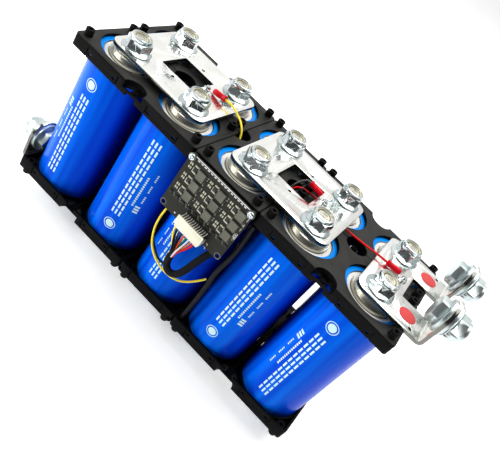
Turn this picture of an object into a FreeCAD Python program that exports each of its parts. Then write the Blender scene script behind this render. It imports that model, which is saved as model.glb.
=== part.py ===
import FreeCAD, Part
import math
import os

# Supercapacitor pack: ten screw-terminal cells in two rows of five, held by moulded two-cell
# holders, joined by link plates, with a balance board on the front and its leads.
# Millimetres, +Z up, origin on the floor under the middle of the pack's bounding box.

# Cells
cell_pitch = 66.0
cells_per_row = 5
can_diameter = 60.0
can_length = 137.5
can_edge_radius = 2.0
sleeve_wall = 0.3
end_groove_depth = 1.75
ring_clearance = 0.5
ring_width = 3.0
ring_thickness = 1.0
ring_to_lip = 0.5
boss_diameters = (38.0, 31.0, 24.0)
boss_steps = (2.25, 4.25)
terminal_height = 6.15
stud_diameter = 12.0
stud_reach = 14.1
stud_chamfer = 1.0

# Moulded two-cell holder
holder_gap = 0.2
holder_plate = 3.0
holder_depth = 11.0
holder_wall = 2.0
holder_corner = 3.0
holder_edge = 0.6
holder_opening_diameter = 54.0
pocket_clearance = 0.4
pocket_wall = 1.5
pocket_depth = 8.0
spine_wall = 2.4
notch_radius = 10.0
notch_depth = 6.5
web_width = 6.0
web_thickness = 1.5
web_boss_diameter = 4.4
web_boss_bore = 2.2
web_boss_rise = 1.5
web_boss_from_edge = 4.8
notch_relief_width = 10.0
skirt_groove_width = 1.2
skirt_groove_depth = 1.0
skirt_groove_from_cell = 16.75
skirt_end_groove_offset = 20.0
latch_width = 3.0
latch_height = 1.6
latch_depth = 8.2
latch_margin = 3.2
post_diameter = 7.0
post_bore = 3.6
post_height = 6.0
post_from_end = 6.3
post_from_side = 7.0
post_root_diameter = 9.0
post_root_depth = 8.0

# Link plates
link_thickness = 3.0
link_margin = 17.0
link_width = 94.0
link_corner = 9.0
window = 34.0
window_corner = 1.0
stud_hole_clearance = 0.8
link_pip_diameter = 3.0
link_pip_offset = 22.5

# Terminal plates
arm_half_width = 16.0
fork_start = 16.6
ear_reach = 46.4
bend_inner_radius = 2.0
positive_bolt_rise = 24.1
negative_bolt_rise = 21.0
arm_pip_reach = 33.5
arm_pip_spread = 11.0
dot_diameter = 15.0
dot_thickness = 0.3
dot_reach = 27.2

# M12 lock nuts, bolts and washers
nut_height = 12.7
nut_across_flats = 19.0
nut_flange_diameter = 26.0
nut_flange_thickness = 1.2
nut_flange_rise = 3.0
nut_corner_ease = 0.6
nut_hex_height = 9.8
nut_collar_sink = 0.5
nut_collar_diameter = 17.6
nut_collar_mouth = 14.0
nut_collar_lip = 0.7
nylon_diameter = 15.4
nylon_height = 2.1
thread_clearance = 0.1
bolt_head_height = 7.5
bolt_tip = 1.4
washer_diameter = 28.0
washer_thickness = 2.5
washer_bore = 13.0

# Balance board
board_width = 65.5
board_height = 54.0
board_thickness = 1.6
board_drop = 1.0
board_corner = 3.0
board_screw_offset = 30.3
board_screw_drop = 4.0
board_hole_diameter = 3.2
spacer_length = 2.4
spacer_diameter = 5.0
screw_shank_diameter = 2.5
screw_head_diameter = 5.6
screw_head_height = 2.0
screw_head_rim = 1.0
screw_head_flat = 4.0
screw_bite = 6.0
lower_hole_offset = 30.0
lower_hole_rise = 3.2
lower_hole_diameter = 3.6
channel_pitch = 20.8
channel_rise = 10.8
first_chip_x = -16.2
first_chip_drop = 9.8
chip_width = 7.5
chip_height = 8.0
chip_thickness = 1.5
resistor_offset = -6.4
resistor_lift = 1.0
resistor_width = 3.4
resistor_height = 6.6
resistor_thickness = 1.1
small_offset = -11.4
small_width = 1.3
small_height = 2.4
small_thickness = 0.6
small_spread = 1.7
small_lift = 1.0
driver_drop = 38.0
driver_width = 3.0
driver_height = 1.8
driver_thickness = 1.0
driver_pitch = 6.9
driver_count = 7
first_driver_x = -18.3
channel_count = 3

# Board header and wire plug
header_left = -11.2
header_width = 26.8
header_height = 9.0
header_drop = 44.0
header_depth = 8.0
header_wall = 1.0
header_floor = 2.0
pin_count = 10
pin_width = 0.7
pin_reach = 3.2
pin_rise = 1.0
plug_clearance = 0.15
plug_stand_out = 2.5
plug_wire_diameter = 1.2
plug_wire_ring = 2.0
plug_wire_drop = 5.0
plug_wire_bow = 0.8

# Ring lugs and their leads
lead_diameter = 1.8
lug_ring_diameter = 7.0
lug_ring_bore = 3.4
lug_ring_thickness = 0.8
lug_neck_width = 3.4
lug_ring_to_sleeve = 5.6
lug_sleeve_length = 12.8
lug_sleeve_diameter = 5.0
lug_sleeve_flare = 5.8
lug_sleeve_straight = 7.7
lug_screw_head_diameter = 5.4
lug_screw_head_flat = 4.0
lug_screw_head_height = 1.8
lug_screw_diameter = 2.9
lug_screw_length = 2.6
link_one_lug = (20.0, 3.5)
link_two_lug = (23.5, 2.8)
terminal_lug = (10.3, 3.0)
link_one_lug_turn = 0.0
link_two_lug_turn = 174.0
terminal_lug_turn = 193.0
link_one_lug_lift = 7.0
link_two_lug_lift = 3.0
terminal_lug_lift = 1.5

# Cables
harness_diameter = 6.0
valley_cable_diameter = 4.5

# Levels and places worked out from the sizes above
row_offset = cell_pitch / 2
can_radius = can_diameter / 2
sleeve_radius = can_radius + sleeve_wall
ring_inner_radius = boss_diameters[0] / 2 + ring_clearance
ring_outer_radius = ring_inner_radius + ring_width
sleeve_lip_radius = ring_outer_radius + ring_to_lip
stud_radius = stud_diameter / 2
can_low = nut_height + link_thickness + terminal_height
can_high = can_low + can_length
mid_height = (can_low + can_high) / 2
top_face = can_high + sleeve_wall + holder_plate
top_seat = can_high + terminal_height
top_link_face = top_seat + link_thickness
holder_half_depth = cell_pitch - holder_gap / 2
front_reach = holder_half_depth + spacer_length + board_thickness + header_depth
center_y = (front_reach - holder_half_depth) / 2
holder_front = center_y - holder_half_depth
board_back = holder_front - spacer_length
board_front = board_back - board_thickness
board_top = top_face - board_drop
nut_bore_radius = stud_radius + thread_clearance
stud_hole_radius = stud_radius + stud_hole_clearance

X_AXIS = FreeCAD.Vector(1, 0, 0)
Y_AXIS = FreeCAD.Vector(0, 1, 0)
Z_AXIS = FreeCAD.Vector(0, 0, 1)


def vec(x, y, z):
    return FreeCAD.Vector(x, y, z)


def cell_x(index):
    return (index - (cells_per_row - 1) / 2) * cell_pitch


def row_y(row):
    return center_y + row * row_offset


def cylinder(radius, height, base, axis=Z_AXIS):
    return Part.makeCylinder(radius, height, base, axis)


def turned(points):
    """A solid of revolution about Z from (radius, height) points."""
    outline = [vec(r, 0, z) for r, z in points]
    outline.append(outline[0])
    face = Part.Face(Part.makePolygon(outline))
    return face.revolve(vec(0, 0, 0), Z_AXIS, 360)


def rounded_outline(x0, y0, x1, y1, radius, z):
    """A closed rounded rectangle as a wire at height z."""
    corners = [(x1 - radius, y1 - radius, 0), (x0 + radius, y1 - radius, 90)]
    corners += [(x0 + radius, y0 + radius, 180), (x1 - radius, y0 + radius, 270)]
    edges = []
    for x, y, start in corners:
        edges.append(Part.makeCircle(radius, vec(x, y, z), Z_AXIS, start, start + 90))
    joined = []
    for index, arc in enumerate(edges):
        following = edges[(index + 1) % 4]
        joined.append(arc)
        joined.append(Part.makeLine(arc.lastVertex().Point, following.firstVertex().Point))
    return Part.Wire(joined)


def rounded_block(x0, y0, x1, y1, radius, z0, z1):
    face = Part.Face(rounded_outline(x0, y0, x1, y1, radius, z0))
    return face.extrude(vec(0, 0, z1 - z0))


def hexagon(across_flats, z0, z1):
    corner = across_flats / math.sqrt(3)
    points = []
    for step in range(7):
        angle = math.radians(60 * step)
        points.append(vec(corner * math.cos(angle), corner * math.sin(angle), z0))
    return Part.Face(Part.makePolygon(points)).extrude(vec(0, 0, z1 - z0))


def turned_over(shape):
    """The same piece on the other end of the pack, turned about the middle of its height."""
    return shape.rotated(vec(0, center_y, mid_height), X_AXIS, 180)


def write(name, solids):
    """One STEP file for a piece, or for a group of like pieces."""
    shape = solids[0] if len(solids) == 1 else Part.makeCompound(solids)
    shape.exportStep(os.path.join("parts", name + ".step"))


# Cells, sleeves and insulating rings

def cell_end_profile():
    """(radius, height above the rim) from the can's edge in to the stud's tip."""
    groove = -end_groove_depth
    tip = terminal_height + stud_reach
    outer, middle, inner = [diameter / 2 for diameter in boss_diameters]
    lip = sleeve_lip_radius
    return [
        (lip, 0),
        (lip, groove),
        (outer, groove),
        (outer, boss_steps[0]),
        (middle, boss_steps[0]),
        (middle, boss_steps[1]),
        (inner, terminal_height),
        (stud_radius, terminal_height),
        (stud_radius, tip - stud_chamfer),
        (stud_radius - stud_chamfer, tip),
        (0, tip),
    ]


def cell():
    """One closed can with its turned terminals and studs, standing on its own lower rim at z = 0."""
    upper = [(r, can_length + z) for r, z in cell_end_profile()]
    lower = [(r, -z) for r, z in reversed(cell_end_profile())]
    shoulder = can_radius - can_edge_radius
    side = [
        (shoulder, 0),
        (can_radius, can_edge_radius),
        (can_radius, can_length - can_edge_radius),
        (shoulder, can_length),
    ]
    return turned(lower + side + upper)


def sleeve():
    """The shrink sleeve: a thin tube drawn over both rims of the can."""
    shoulder = can_radius - can_edge_radius
    lip = sleeve_lip_radius
    slope = sleeve_wall * math.tan(math.radians(22.5))
    high = can_length + sleeve_wall
    return turned([
        (lip, 0),
        (shoulder, 0),
        (can_radius, can_edge_radius),
        (can_radius, can_length - can_edge_radius),
        (shoulder, can_length),
        (lip, can_length),
        (lip, high),
        (shoulder + slope, high),
        (sleeve_radius, can_length - can_edge_radius + slope),
        (sleeve_radius, can_edge_radius - slope),
        (shoulder + slope, -sleeve_wall),
        (lip, -sleeve_wall),
    ])


def insulating_ring():
    """The pale ring that lies in the groove round a terminal, at the cell's upper end."""
    outer = cylinder(ring_outer_radius, ring_thickness, vec(0, 0, 0))
    return outer.cut(cylinder(ring_inner_radius, ring_thickness, vec(0, 0, 0)))


def cell_places():
    places = []
    for row in (-1, 1):
        for index in range(cells_per_row):
            places.append((index, row, vec(cell_x(index), row_y(row), 0)))
    return places


def make_cells():
    sleeves = []
    rings = []
    blank = cell()
    skin = sleeve()
    ring = insulating_ring()
    for index, row, place in cell_places():
        side = "front" if row < 0 else "back"
        stand = place + vec(0, 0, can_low)
        write("cell_%d_%s" % (index + 1, side), [blank.translated(stand)])
        sleeves.append(skin.translated(stand))
        upper = ring.translated(place + vec(0, 0, can_high - end_groove_depth))
        rings.append(upper)
        rings.append(ring.translated(place + vec(0, 0, can_low + end_groove_depth - ring_thickness)))
    write("cell_sleeves", sleeves)
    write("insulating_rings", rings)


# Holders

def holder_post_places():
    half_length = cell_pitch - holder_gap / 2
    half_width = (cell_pitch - holder_gap) / 2
    x = half_length - post_from_end
    y = half_width - post_from_side
    return [(sx * x, sy * y) for sx in (-1, 1) for sy in (-1, 1)]


def holder_shell(half_length, half_width):
    """Plate and hanging skirt with a softened top edge."""
    block = rounded_block(-half_length, -half_width, half_length, half_width,
                          holder_corner, -holder_depth, 0)
    top_edges = [e for e in block.Edges if all(abs(v.Z) < 0.001 for v in e.Vertexes)]
    block = block.makeChamfer(holder_edge, top_edges)
    hollow = rounded_block(holder_wall - half_length, holder_wall - half_width,
                           half_length - holder_wall, half_width - holder_wall,
                           holder_corner - holder_wall / 2, -holder_depth, -holder_plate)
    return block.cut(hollow), hollow


def holder_inside(hollow, half_width):
    """Pocket walls round the two cans, post roots, the notches' bay walls and webs, and the spine."""
    pocket_radius = sleeve_radius + pocket_clearance
    pieces = []
    for side in (-1, 1):
        base = vec(side * row_offset, 0, -pocket_depth)
        pieces.append(cylinder(pocket_radius + pocket_wall, pocket_depth, base))
    for x, y in holder_post_places():
        pieces.append(cylinder(post_root_diameter / 2, post_root_depth, vec(x, y, -post_root_depth)))
    for side in (-1, 1):
        base = vec(0, side * half_width, -pocket_depth)
        bay = cylinder(notch_radius + holder_wall, pocket_depth, base)
        pieces.append(bay.cut(cylinder(notch_radius, pocket_depth, base)))
        reach = notch_radius + holder_wall / 2
        inner_edge = half_width - reach if side > 0 else -half_width
        pieces.append(Part.makeBox(web_width, reach, web_thickness,
                                   vec(-web_width / 2, inner_edge, -notch_depth - web_thickness)))
    spine_length = 2 * (row_offset - notch_radius - holder_wall)
    pieces.append(Part.makeBox(spine_wall, spine_length, pocket_depth,
                               vec(-spine_wall / 2, -spine_length / 2, -pocket_depth)))
    solid = pieces[0].multiFuse(pieces[1:])
    return solid.common(hollow)


def holder_cuts(half_length, half_width):
    """Everything that is cut into the moulding: openings, notches, grooves and latch holes."""
    cuts = []
    pocket_radius = sleeve_radius + pocket_clearance
    under_plate = holder_depth - holder_plate
    for side in (-1, 1):
        middle = vec(side * row_offset, 0, -holder_depth)
        cuts.append(cylinder(pocket_radius, under_plate, middle))
        cuts.append(cylinder(holder_opening_diameter / 2, holder_depth, middle))
        cuts.append(cylinder(notch_radius, notch_depth, vec(0, side * half_width, -notch_depth)))
        lowest = vec(-notch_relief_width / 2, side * half_width - holder_wall, -holder_depth)
        cuts.append(Part.makeBox(notch_relief_width, 2 * holder_wall,
                                 holder_depth - notch_depth - web_thickness, lowest))
        end = side * half_length - skirt_groove_depth
        for offset in (-skirt_end_groove_offset, skirt_end_groove_offset):
            cuts.append(Part.makeBox(2 * skirt_groove_depth, skirt_groove_width, under_plate,
                                     vec(end, offset - skirt_groove_width / 2, -holder_depth)))
        for edge in (-1, 1):
            wall = edge * (half_width - holder_wall / 2) - holder_wall
            face = edge * half_width - skirt_groove_depth
            for offset in (-skirt_groove_from_cell, skirt_groove_from_cell):
                x = side * row_offset + offset
                cuts.append(Part.makeBox(skirt_groove_width, 2 * skirt_groove_depth, under_plate,
                                         vec(x - skirt_groove_width / 2, face, -holder_depth)))
                inward = -math.copysign(latch_margin, offset)
                cuts.append(Part.makeBox(latch_width, 2 * holder_wall, latch_height,
                                         vec(x + inward - latch_width / 2, wall, -latch_depth)))
    return cuts


def holder_screw_bores(half_length):
    """Blind holes in both ends, where a board can be screwed on."""
    bores = []
    radius = screw_shank_diameter / 2
    for side in (-1, 1):
        for offset in (-board_screw_offset, board_screw_offset):
            base = vec(side * half_length, offset, -board_screw_drop)
            bores.append(cylinder(radius, screw_bite, base, vec(-side, 0, 0)))
    return bores


def holder_screw_bosses(half_length, half_width):
    """Solid corners that the end screws bite into, joined to the skirt and the posts."""
    reach = screw_bite + holder_wall
    inner = min(board_screw_offset - screw_shank_diameter, half_width - holder_wall)
    bosses = []
    for sx in (-1, 1):
        for sy in (-1, 1):
            x = half_length - holder_wall / 2 if sx > 0 else -half_length + holder_wall / 2 + reach
            y0 = inner if sy > 0 else -half_width + holder_wall / 2
            width = half_width - holder_wall / 2 - inner
            bosses.append(Part.makeBox(reach, width, pocket_depth,
                                       vec(x - reach, y0, -pocket_depth)))
    return bosses


def holder():
    """The two-cell moulding, long side along X, top face at z = 0."""
    half_length = cell_pitch - holder_gap / 2
    half_width = (cell_pitch - holder_gap) / 2
    shell, hollow = holder_shell(half_length, half_width)
    body = shell.multiFuse([holder_inside(hollow, half_width)] + holder_screw_bosses(half_length, half_width))
    body = body.cut(Part.makeCompound(holder_cuts(half_length, half_width)))
    posts = []
    bores = holder_screw_bores(half_length)
    for x, y in holder_post_places():
        posts.append(cylinder(post_diameter / 2, post_height + holder_plate, vec(x, y, -holder_plate)))
        bores.append(cylinder(post_bore / 2, post_height + holder_depth, vec(x, y, -holder_depth)))
    for side in (-1, 1):
        y = side * (half_width - web_boss_from_edge)
        base = vec(0, y, -notch_depth - web_thickness)
        posts.append(cylinder(web_boss_diameter / 2, web_thickness + web_boss_rise, base))
        bores.append(cylinder(web_boss_bore / 2, holder_depth, vec(0, y, -holder_depth)))
    body = body.multiFuse(posts)
    body = body.cut(Part.makeCompound(bores))
    return body.removeSplitter().Solids[0]


def make_holders():
    lengthwise = holder()
    across = lengthwise.rotated(vec(0, 0, 0), Z_AXIS, 90)
    outer = cell_pitch * (cells_per_row - 2) / 2
    places = [
        ("left_front", lengthwise, -outer, -1),
        ("left_back", lengthwise, -outer, 1),
        ("middle", across, 0, 0),
        ("right_front", lengthwise, outer, -1),
        ("right_back", lengthwise, outer, 1),
    ]
    for name, moulding, x, row in places:
        upper = moulding.translated(vec(x, row_y(row), top_face))
        write("holder_top_" + name, [upper])
        mirrored = moulding.translated(vec(x, row_y(-row), top_face))
        write("holder_bottom_" + name, [turned_over(mirrored)])


# Lock nuts, bolts and washers

def nut_prism(height, chamfer_both):
    """A hexagon with its corners turned off at the end, or at both ends."""
    corner = nut_across_flats / math.sqrt(3)
    inner = nut_across_flats / 2
    prism = hexagon(nut_across_flats, 0, height)
    foot = [(inner, 0), (corner, nut_corner_ease)] if chamfer_both else [(corner, 0)]
    cone = turned([(0, 0)] + foot + [
        (corner, height - nut_corner_ease),
        (inner, height),
        (0, height),
    ])
    return prism.common(cone)


def lock_nut():
    """Flanged lock nut with its seat at z = 0 and the crimped collar on top."""
    flange = nut_flange_diameter / 2
    collar = nut_collar_diameter / 2
    mouth = nut_collar_mouth / 2
    recess = nylon_diameter / 2
    inner = nut_across_flats / 2
    lip_low = nut_height - nut_collar_lip
    recess_low = lip_low - nylon_height
    collar_low = nut_hex_height - nut_collar_sink
    skirt = turned([
        (0, 0),
        (flange, 0),
        (flange, nut_flange_thickness),
        (inner, nut_flange_rise),
        (0, nut_flange_rise),
    ])
    prism = nut_prism(nut_hex_height, False)
    top = turned([
        (0, collar_low),
        (collar, collar_low),
        (collar, lip_low),
        (collar - nut_collar_lip, nut_height),
        (0, nut_height),
    ])
    bore = turned([
        (0, 0),
        (nut_bore_radius, 0),
        (nut_bore_radius, recess_low),
        (recess, recess_low),
        (recess, lip_low),
        (mouth, lip_low),
        (mouth, nut_height),
        (0, nut_height),
    ])
    return skirt.multiFuse([prism, top]).cut(bore).removeSplitter().Solids[0]


def nylon_ring():
    """The locking ring inside the nut's collar."""
    low = nut_height - nut_collar_lip - nylon_height
    outer = cylinder(nylon_diameter / 2, nylon_height, vec(0, 0, low))
    return outer.cut(cylinder(nut_bore_radius, nylon_height, vec(0, 0, low)))


def bolt():
    """Hexagon-head bolt: head below z = 0, shank up through washers, ear and nut."""
    head = nut_prism(bolt_head_height, True).translated(vec(0, 0, -bolt_head_height))
    length = 2 * washer_thickness + link_thickness + nut_height + bolt_tip
    shank = turned([
        (0, 0),
        (stud_radius, 0),
        (stud_radius, length - stud_chamfer),
        (stud_radius - stud_chamfer, length),
        (0, length),
    ])
    return head.fuse(shank).removeSplitter().Solids[0]


def washer():
    disc = cylinder(washer_diameter / 2, washer_thickness, vec(0, 0, 0))
    return disc.cut(cylinder(washer_bore / 2, washer_thickness, vec(0, 0, 0)))


def ear_bolt_places():
    """(end, row, height) of the four ear bolts: end is 1 for the positive plate on the right."""
    stud_reach_x = cell_x(cells_per_row - 1)
    positive = top_seat + positive_bolt_rise
    negative = nut_height + negative_bolt_rise
    places = []
    for end, height in ((1, positive), (-1, negative)):
        inner_face = end * (stud_reach_x + ear_reach - link_thickness)
        for row in (-1, 1):
            places.append((end, vec(inner_face, row_y(row), height)))
    return places


def along_x(shape, end):
    """Turn a piece whose axis is Z so that it points outwards along X."""
    return shape.rotated(vec(0, 0, 0), Y_AXIS, 90 * end)


def make_fasteners():
    nut = lock_nut()
    ring = nylon_ring()
    top_nuts = []
    bottom_nuts = []
    rings = []
    for _, row, place in cell_places():
        seat = place + vec(0, 0, top_link_face)
        opposite = vec(place.x, row_y(-row), top_link_face)
        top_nuts.append(nut.translated(seat))
        bottom_nuts.append(turned_over(nut.translated(opposite)))
        rings.append(ring.translated(seat))
        rings.append(turned_over(ring.translated(opposite)))
    bolts = []
    washers = []
    ear_nuts = []
    flat = washer()
    screw = bolt()
    for end, place in ear_bolt_places():
        inner = place - vec(end * washer_thickness, 0, 0)
        outer = place + vec(end * link_thickness, 0, 0)
        nut_seat = outer + vec(end * washer_thickness, 0, 0)
        bolts.append(along_x(screw, end).translated(inner))
        washers.append(along_x(flat, end).translated(inner))
        washers.append(along_x(flat, end).translated(outer))
        ear_nuts.append(along_x(nut, end).translated(nut_seat))
        rings.append(along_x(ring, end).translated(nut_seat))
    write("stud_nuts_top", top_nuts)
    write("stud_nuts_bottom", bottom_nuts)
    write("nut_locking_rings", rings)
    write("terminal_bolts", bolts)
    write("terminal_washers", washers)
    write("terminal_nuts", ear_nuts)


# Link plates and terminal plates

def stud_holes(x_places):
    holes = []
    for x in x_places:
        for side in (-1, 1):
            holes.append(cylinder(stud_hole_radius, link_thickness, vec(x, side * row_offset, 0)))
    return holes


def link_plate(lug_place):
    """Plate over four studs, lower face at z = 0, with a square window between them."""
    half_length = row_offset + link_margin
    plate = rounded_block(-half_length, -link_width / 2, half_length, link_width / 2,
                          link_corner, 0, link_thickness)
    cuts = stud_holes((-row_offset, row_offset))
    cuts.append(rounded_block(-window / 2, -window / 2, window / 2, window / 2,
                              window_corner, 0, link_thickness))
    for side in (-1, 1):
        pip = vec(0, side * link_pip_offset, 0)
        cuts.append(cylinder(link_pip_diameter / 2, link_thickness, pip))
    if lug_place:
        base = vec(lug_place[0], lug_place[1], 0)
        cuts.append(cylinder(lug_screw_diameter / 2, link_thickness, base))
    return plate.cut(Part.makeCompound(cuts))


def ear(side, bolt_rise):
    """One round-topped ear, from the top of its bend up, facing along X."""
    low = bend_inner_radius + link_thickness
    middle = side * row_offset
    inner_face = ear_reach - link_thickness
    left = vec(inner_face, middle - arm_half_width, low)
    right = vec(inner_face, middle + arm_half_width, low)
    left_high = vec(inner_face, middle - arm_half_width, bolt_rise)
    right_high = vec(inner_face, middle + arm_half_width, bolt_rise)
    crown = vec(inner_face, middle, bolt_rise + arm_half_width)
    outline = Part.Wire([
        Part.makeLine(left, right),
        Part.makeLine(right, right_high),
        Part.Arc(right_high, crown, left_high).toShape(),
        Part.makeLine(left_high, left),
    ])
    solid = Part.Face(outline).extrude(vec(link_thickness, 0, 0))
    hole = cylinder(stud_hole_radius, link_thickness, vec(inner_face, middle, bolt_rise), X_AXIS)
    return solid.cut(hole)


def bent_sheet(half_width):
    """The flat of a terminal plate with its bend, as one sheet profile drawn along Y."""
    outer = bend_inner_radius + link_thickness
    bend_middle = vec(ear_reach - outer, -half_width, outer)
    diagonal = math.sqrt(0.5)
    start = vec(-link_margin, -half_width, 0)
    low_end = vec(ear_reach - outer, -half_width, 0)
    outer_mid = bend_middle + vec(outer * diagonal, 0, -outer * diagonal)
    outer_end = vec(ear_reach, -half_width, outer)
    inner_end = vec(ear_reach - link_thickness, -half_width, outer)
    inner_mid = bend_middle + vec(bend_inner_radius * diagonal, 0, -bend_inner_radius * diagonal)
    high_end = vec(ear_reach - outer, -half_width, link_thickness)
    back = vec(-link_margin, -half_width, link_thickness)
    profile = Part.Wire([
        Part.makeLine(start, low_end),
        Part.Arc(low_end, outer_mid, outer_end).toShape(),
        Part.makeLine(outer_end, inner_end),
        Part.Arc(inner_end, inner_mid, high_end).toShape(),
        Part.makeLine(high_end, back),
        Part.makeLine(back, start),
    ])
    return Part.Face(profile).extrude(vec(0, 2 * half_width, 0))


def terminal_plate(bolt_rise, lug_place):
    """Forked plate, stud line at x = 0, arms towards +X and bent up into two ears."""
    half_width = row_offset + arm_half_width
    slot_half = row_offset - arm_half_width
    bend = bend_inner_radius + link_thickness
    sheet = bent_sheet(half_width)
    plan = rounded_block(-link_margin, -half_width, ear_reach + half_width, half_width,
                         link_corner, 0, bend)
    slot = rounded_block(fork_start, -slot_half, ear_reach + half_width, slot_half,
                         window_corner, 0, bend)
    sheet = sheet.common(plan).cut(slot)
    body = sheet.multiFuse([ear(-1, bolt_rise), ear(1, bolt_rise)]).removeSplitter()
    cuts = stud_holes((0,))
    for side in (-1, 1):
        pip = vec(arm_pip_reach, side * (row_offset + arm_pip_spread), 0)
        cuts.append(cylinder(link_pip_diameter / 2, link_thickness, pip))
    if lug_place:
        base = vec(lug_place[0], lug_place[1], 0)
        cuts.append(cylinder(lug_screw_diameter / 2, link_thickness, base))
    return body.cut(Part.makeCompound(cuts)).Solids[0]


def pair_middle(first):
    """X halfway between a cell and the next one in its row."""
    return (cell_x(first) + cell_x(first + 1)) / 2


def make_plates():
    top = vec(0, center_y, top_seat)
    one = link_plate(link_one_lug).translated(top + vec(pair_middle(0), 0, 0))
    two = link_plate(link_two_lug).translated(top + vec(pair_middle(2), 0, 0))
    write("link_plate_top_1_2", [one])
    write("link_plate_top_3_4", [two])
    plain = link_plate(None)
    for first in (1, 3):
        low = turned_over(plain.translated(top + vec(pair_middle(first), 0, 0)))
        write("link_plate_bottom_%d_%d" % (first + 1, first + 2), [low])
    last = cell_x(cells_per_row - 1)
    positive = terminal_plate(positive_bolt_rise, terminal_lug).translated(top + vec(last, 0, 0))
    write("positive_terminal_plate", [positive])
    negative = terminal_plate(negative_bolt_rise, None)
    negative = negative.rotated(vec(0, 0, 0), Z_AXIS, 180)
    negative = negative.translated(vec(cell_x(0), center_y, nut_height))
    write("negative_terminal_plate", [negative])
    dots = []
    for row in (-1, 1):
        base = vec(last + dot_reach, row_y(row), top_link_face)
        dots.append(cylinder(dot_diameter / 2, dot_thickness, base))
    write("polarity_dots", dots)


# Balance board with its parts

def on_board(x, drop, width, height, thickness):
    """A block on the board's face, from its middle x and its top edge's distance down."""
    corner = vec(x - width / 2, board_front - thickness, board_top - drop - height)
    return Part.makeBox(width, thickness, height, corner)


def board():
    half = board_width / 2
    sheet = rounded_block(-half, -board_height, half, 0, board_corner, 0, board_thickness)
    sheet = sheet.rotated(vec(0, 0, 0), X_AXIS, 90).translated(vec(0, board_back, board_top))
    holes = []
    for side in (-1, 1):
        upper = vec(side * board_screw_offset, board_back, top_face - board_screw_drop)
        lower = vec(side * lower_hole_offset, board_back, board_top - board_height + lower_hole_rise)
        holes.append(cylinder(board_hole_diameter / 2, board_thickness, upper, -Y_AXIS))
        holes.append(cylinder(lower_hole_diameter / 2, board_thickness, lower, -Y_AXIS))
    return sheet.cut(Part.makeCompound(holes))


def board_screw(x):
    """Pan-head screw through board and spacer into the holder's end."""
    length = board_thickness + spacer_length + screw_bite
    rim = screw_head_diameter / 2
    profile = turned([
        (0, -length),
        (screw_shank_diameter / 2, -length),
        (screw_shank_diameter / 2, 0),
        (rim, 0),
        (rim, screw_head_rim),
        (screw_head_flat / 2, screw_head_height),
        (0, screw_head_height),
    ])
    turned_out = profile.rotated(vec(0, 0, 0), X_AXIS, 90)
    return turned_out.translated(vec(x, board_front, top_face - board_screw_drop))


def board_spacer(x):
    middle = vec(x, holder_front, top_face - board_screw_drop)
    outer = cylinder(spacer_diameter / 2, spacer_length, middle, -Y_AXIS)
    return outer.cut(cylinder(board_hole_diameter / 2, spacer_length, middle, -Y_AXIS))


def make_board():
    chips = []
    resistors = []
    small = []
    for column in range(channel_count):
        for line in range(channel_count):
            x = first_chip_x + column * channel_pitch
            drop = first_chip_drop + line * channel_rise
            chips.append(on_board(x, drop - chip_height / 2, chip_width, chip_height, chip_thickness))
            resistors.append(on_board(x + resistor_offset, drop - resistor_height / 2 - resistor_lift,
                                      resistor_width, resistor_height, resistor_thickness))
            for step_x in (-1, 1):
                for step_z in (-1, 1):
                    small_x = x + small_offset + step_x * small_spread / 2
                    small_drop = drop - small_height / 2 + step_z * small_spread - small_lift
                    small.append(on_board(small_x, small_drop, small_width, small_height,
                                          small_thickness))
    for index in range(driver_count):
        x = first_driver_x + index * driver_pitch
        small.append(on_board(x, driver_drop, driver_width, driver_height, driver_thickness))
    write("balance_board", [board()])
    write("balance_chips", chips)
    write("bleed_resistors", resistors)
    write("board_small_parts", small)
    sides = (-board_screw_offset, board_screw_offset)
    write("board_screws", [board_screw(x) for x in sides])
    write("board_spacers", [board_spacer(x) for x in sides])


# Header, pins, plug and its wires

def header():
    """Side-entry header: a box on the board, open below where the plug goes in."""
    shell = on_board(header_left + header_width / 2, header_drop - board_drop,
                     header_width, header_height, header_depth)
    mouth = on_board(header_left + header_width / 2, header_drop - board_drop + header_floor,
                     header_width - 2 * header_wall, header_height - header_floor,
                     header_depth - header_wall)
    mouth = mouth.cut(on_board(header_left + header_width / 2, 0, board_width, board_height,
                               header_wall))
    return shell.cut(mouth)


def pin_x(index):
    spacing = (header_width - 2 * header_wall) / pin_count
    return header_left + header_wall + (index + 0.5) * spacing


def header_pin(index):
    """A bent pin from the top of the header down to the board."""
    foot = on_board(pin_x(index), header_drop - board_drop - pin_reach, pin_width, pin_rise, pin_rise)
    leg = on_board(pin_x(index), header_drop - board_drop - pin_reach, pin_width, pin_reach, pin_rise)
    return foot.fuse(leg).removeSplitter().Solids[0]


def plug():
    """The wire plug, seated in the header with a short end standing out below."""
    width = header_width - 2 * header_wall - 2 * plug_clearance
    depth = header_depth - 2 * header_wall - 2 * plug_clearance
    height = header_height - header_floor + plug_stand_out
    low = board_top - (header_drop - board_drop) - header_height - plug_stand_out
    x = header_left + header_wall + plug_clearance
    y = board_front - header_depth + header_wall + plug_clearance
    return Part.makeBox(width, depth, height, vec(x, y, low))


def plug_bottom():
    """Height of the face that the wires leave."""
    return board_top - (header_drop - board_drop) - header_height - plug_stand_out


def make_header():
    write("board_header", [header()])
    write("header_pins", [header_pin(index) for index in range(pin_count)])
    write("wire_plug", [plug()])


# Ring lugs with their screws and sleeves

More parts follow.
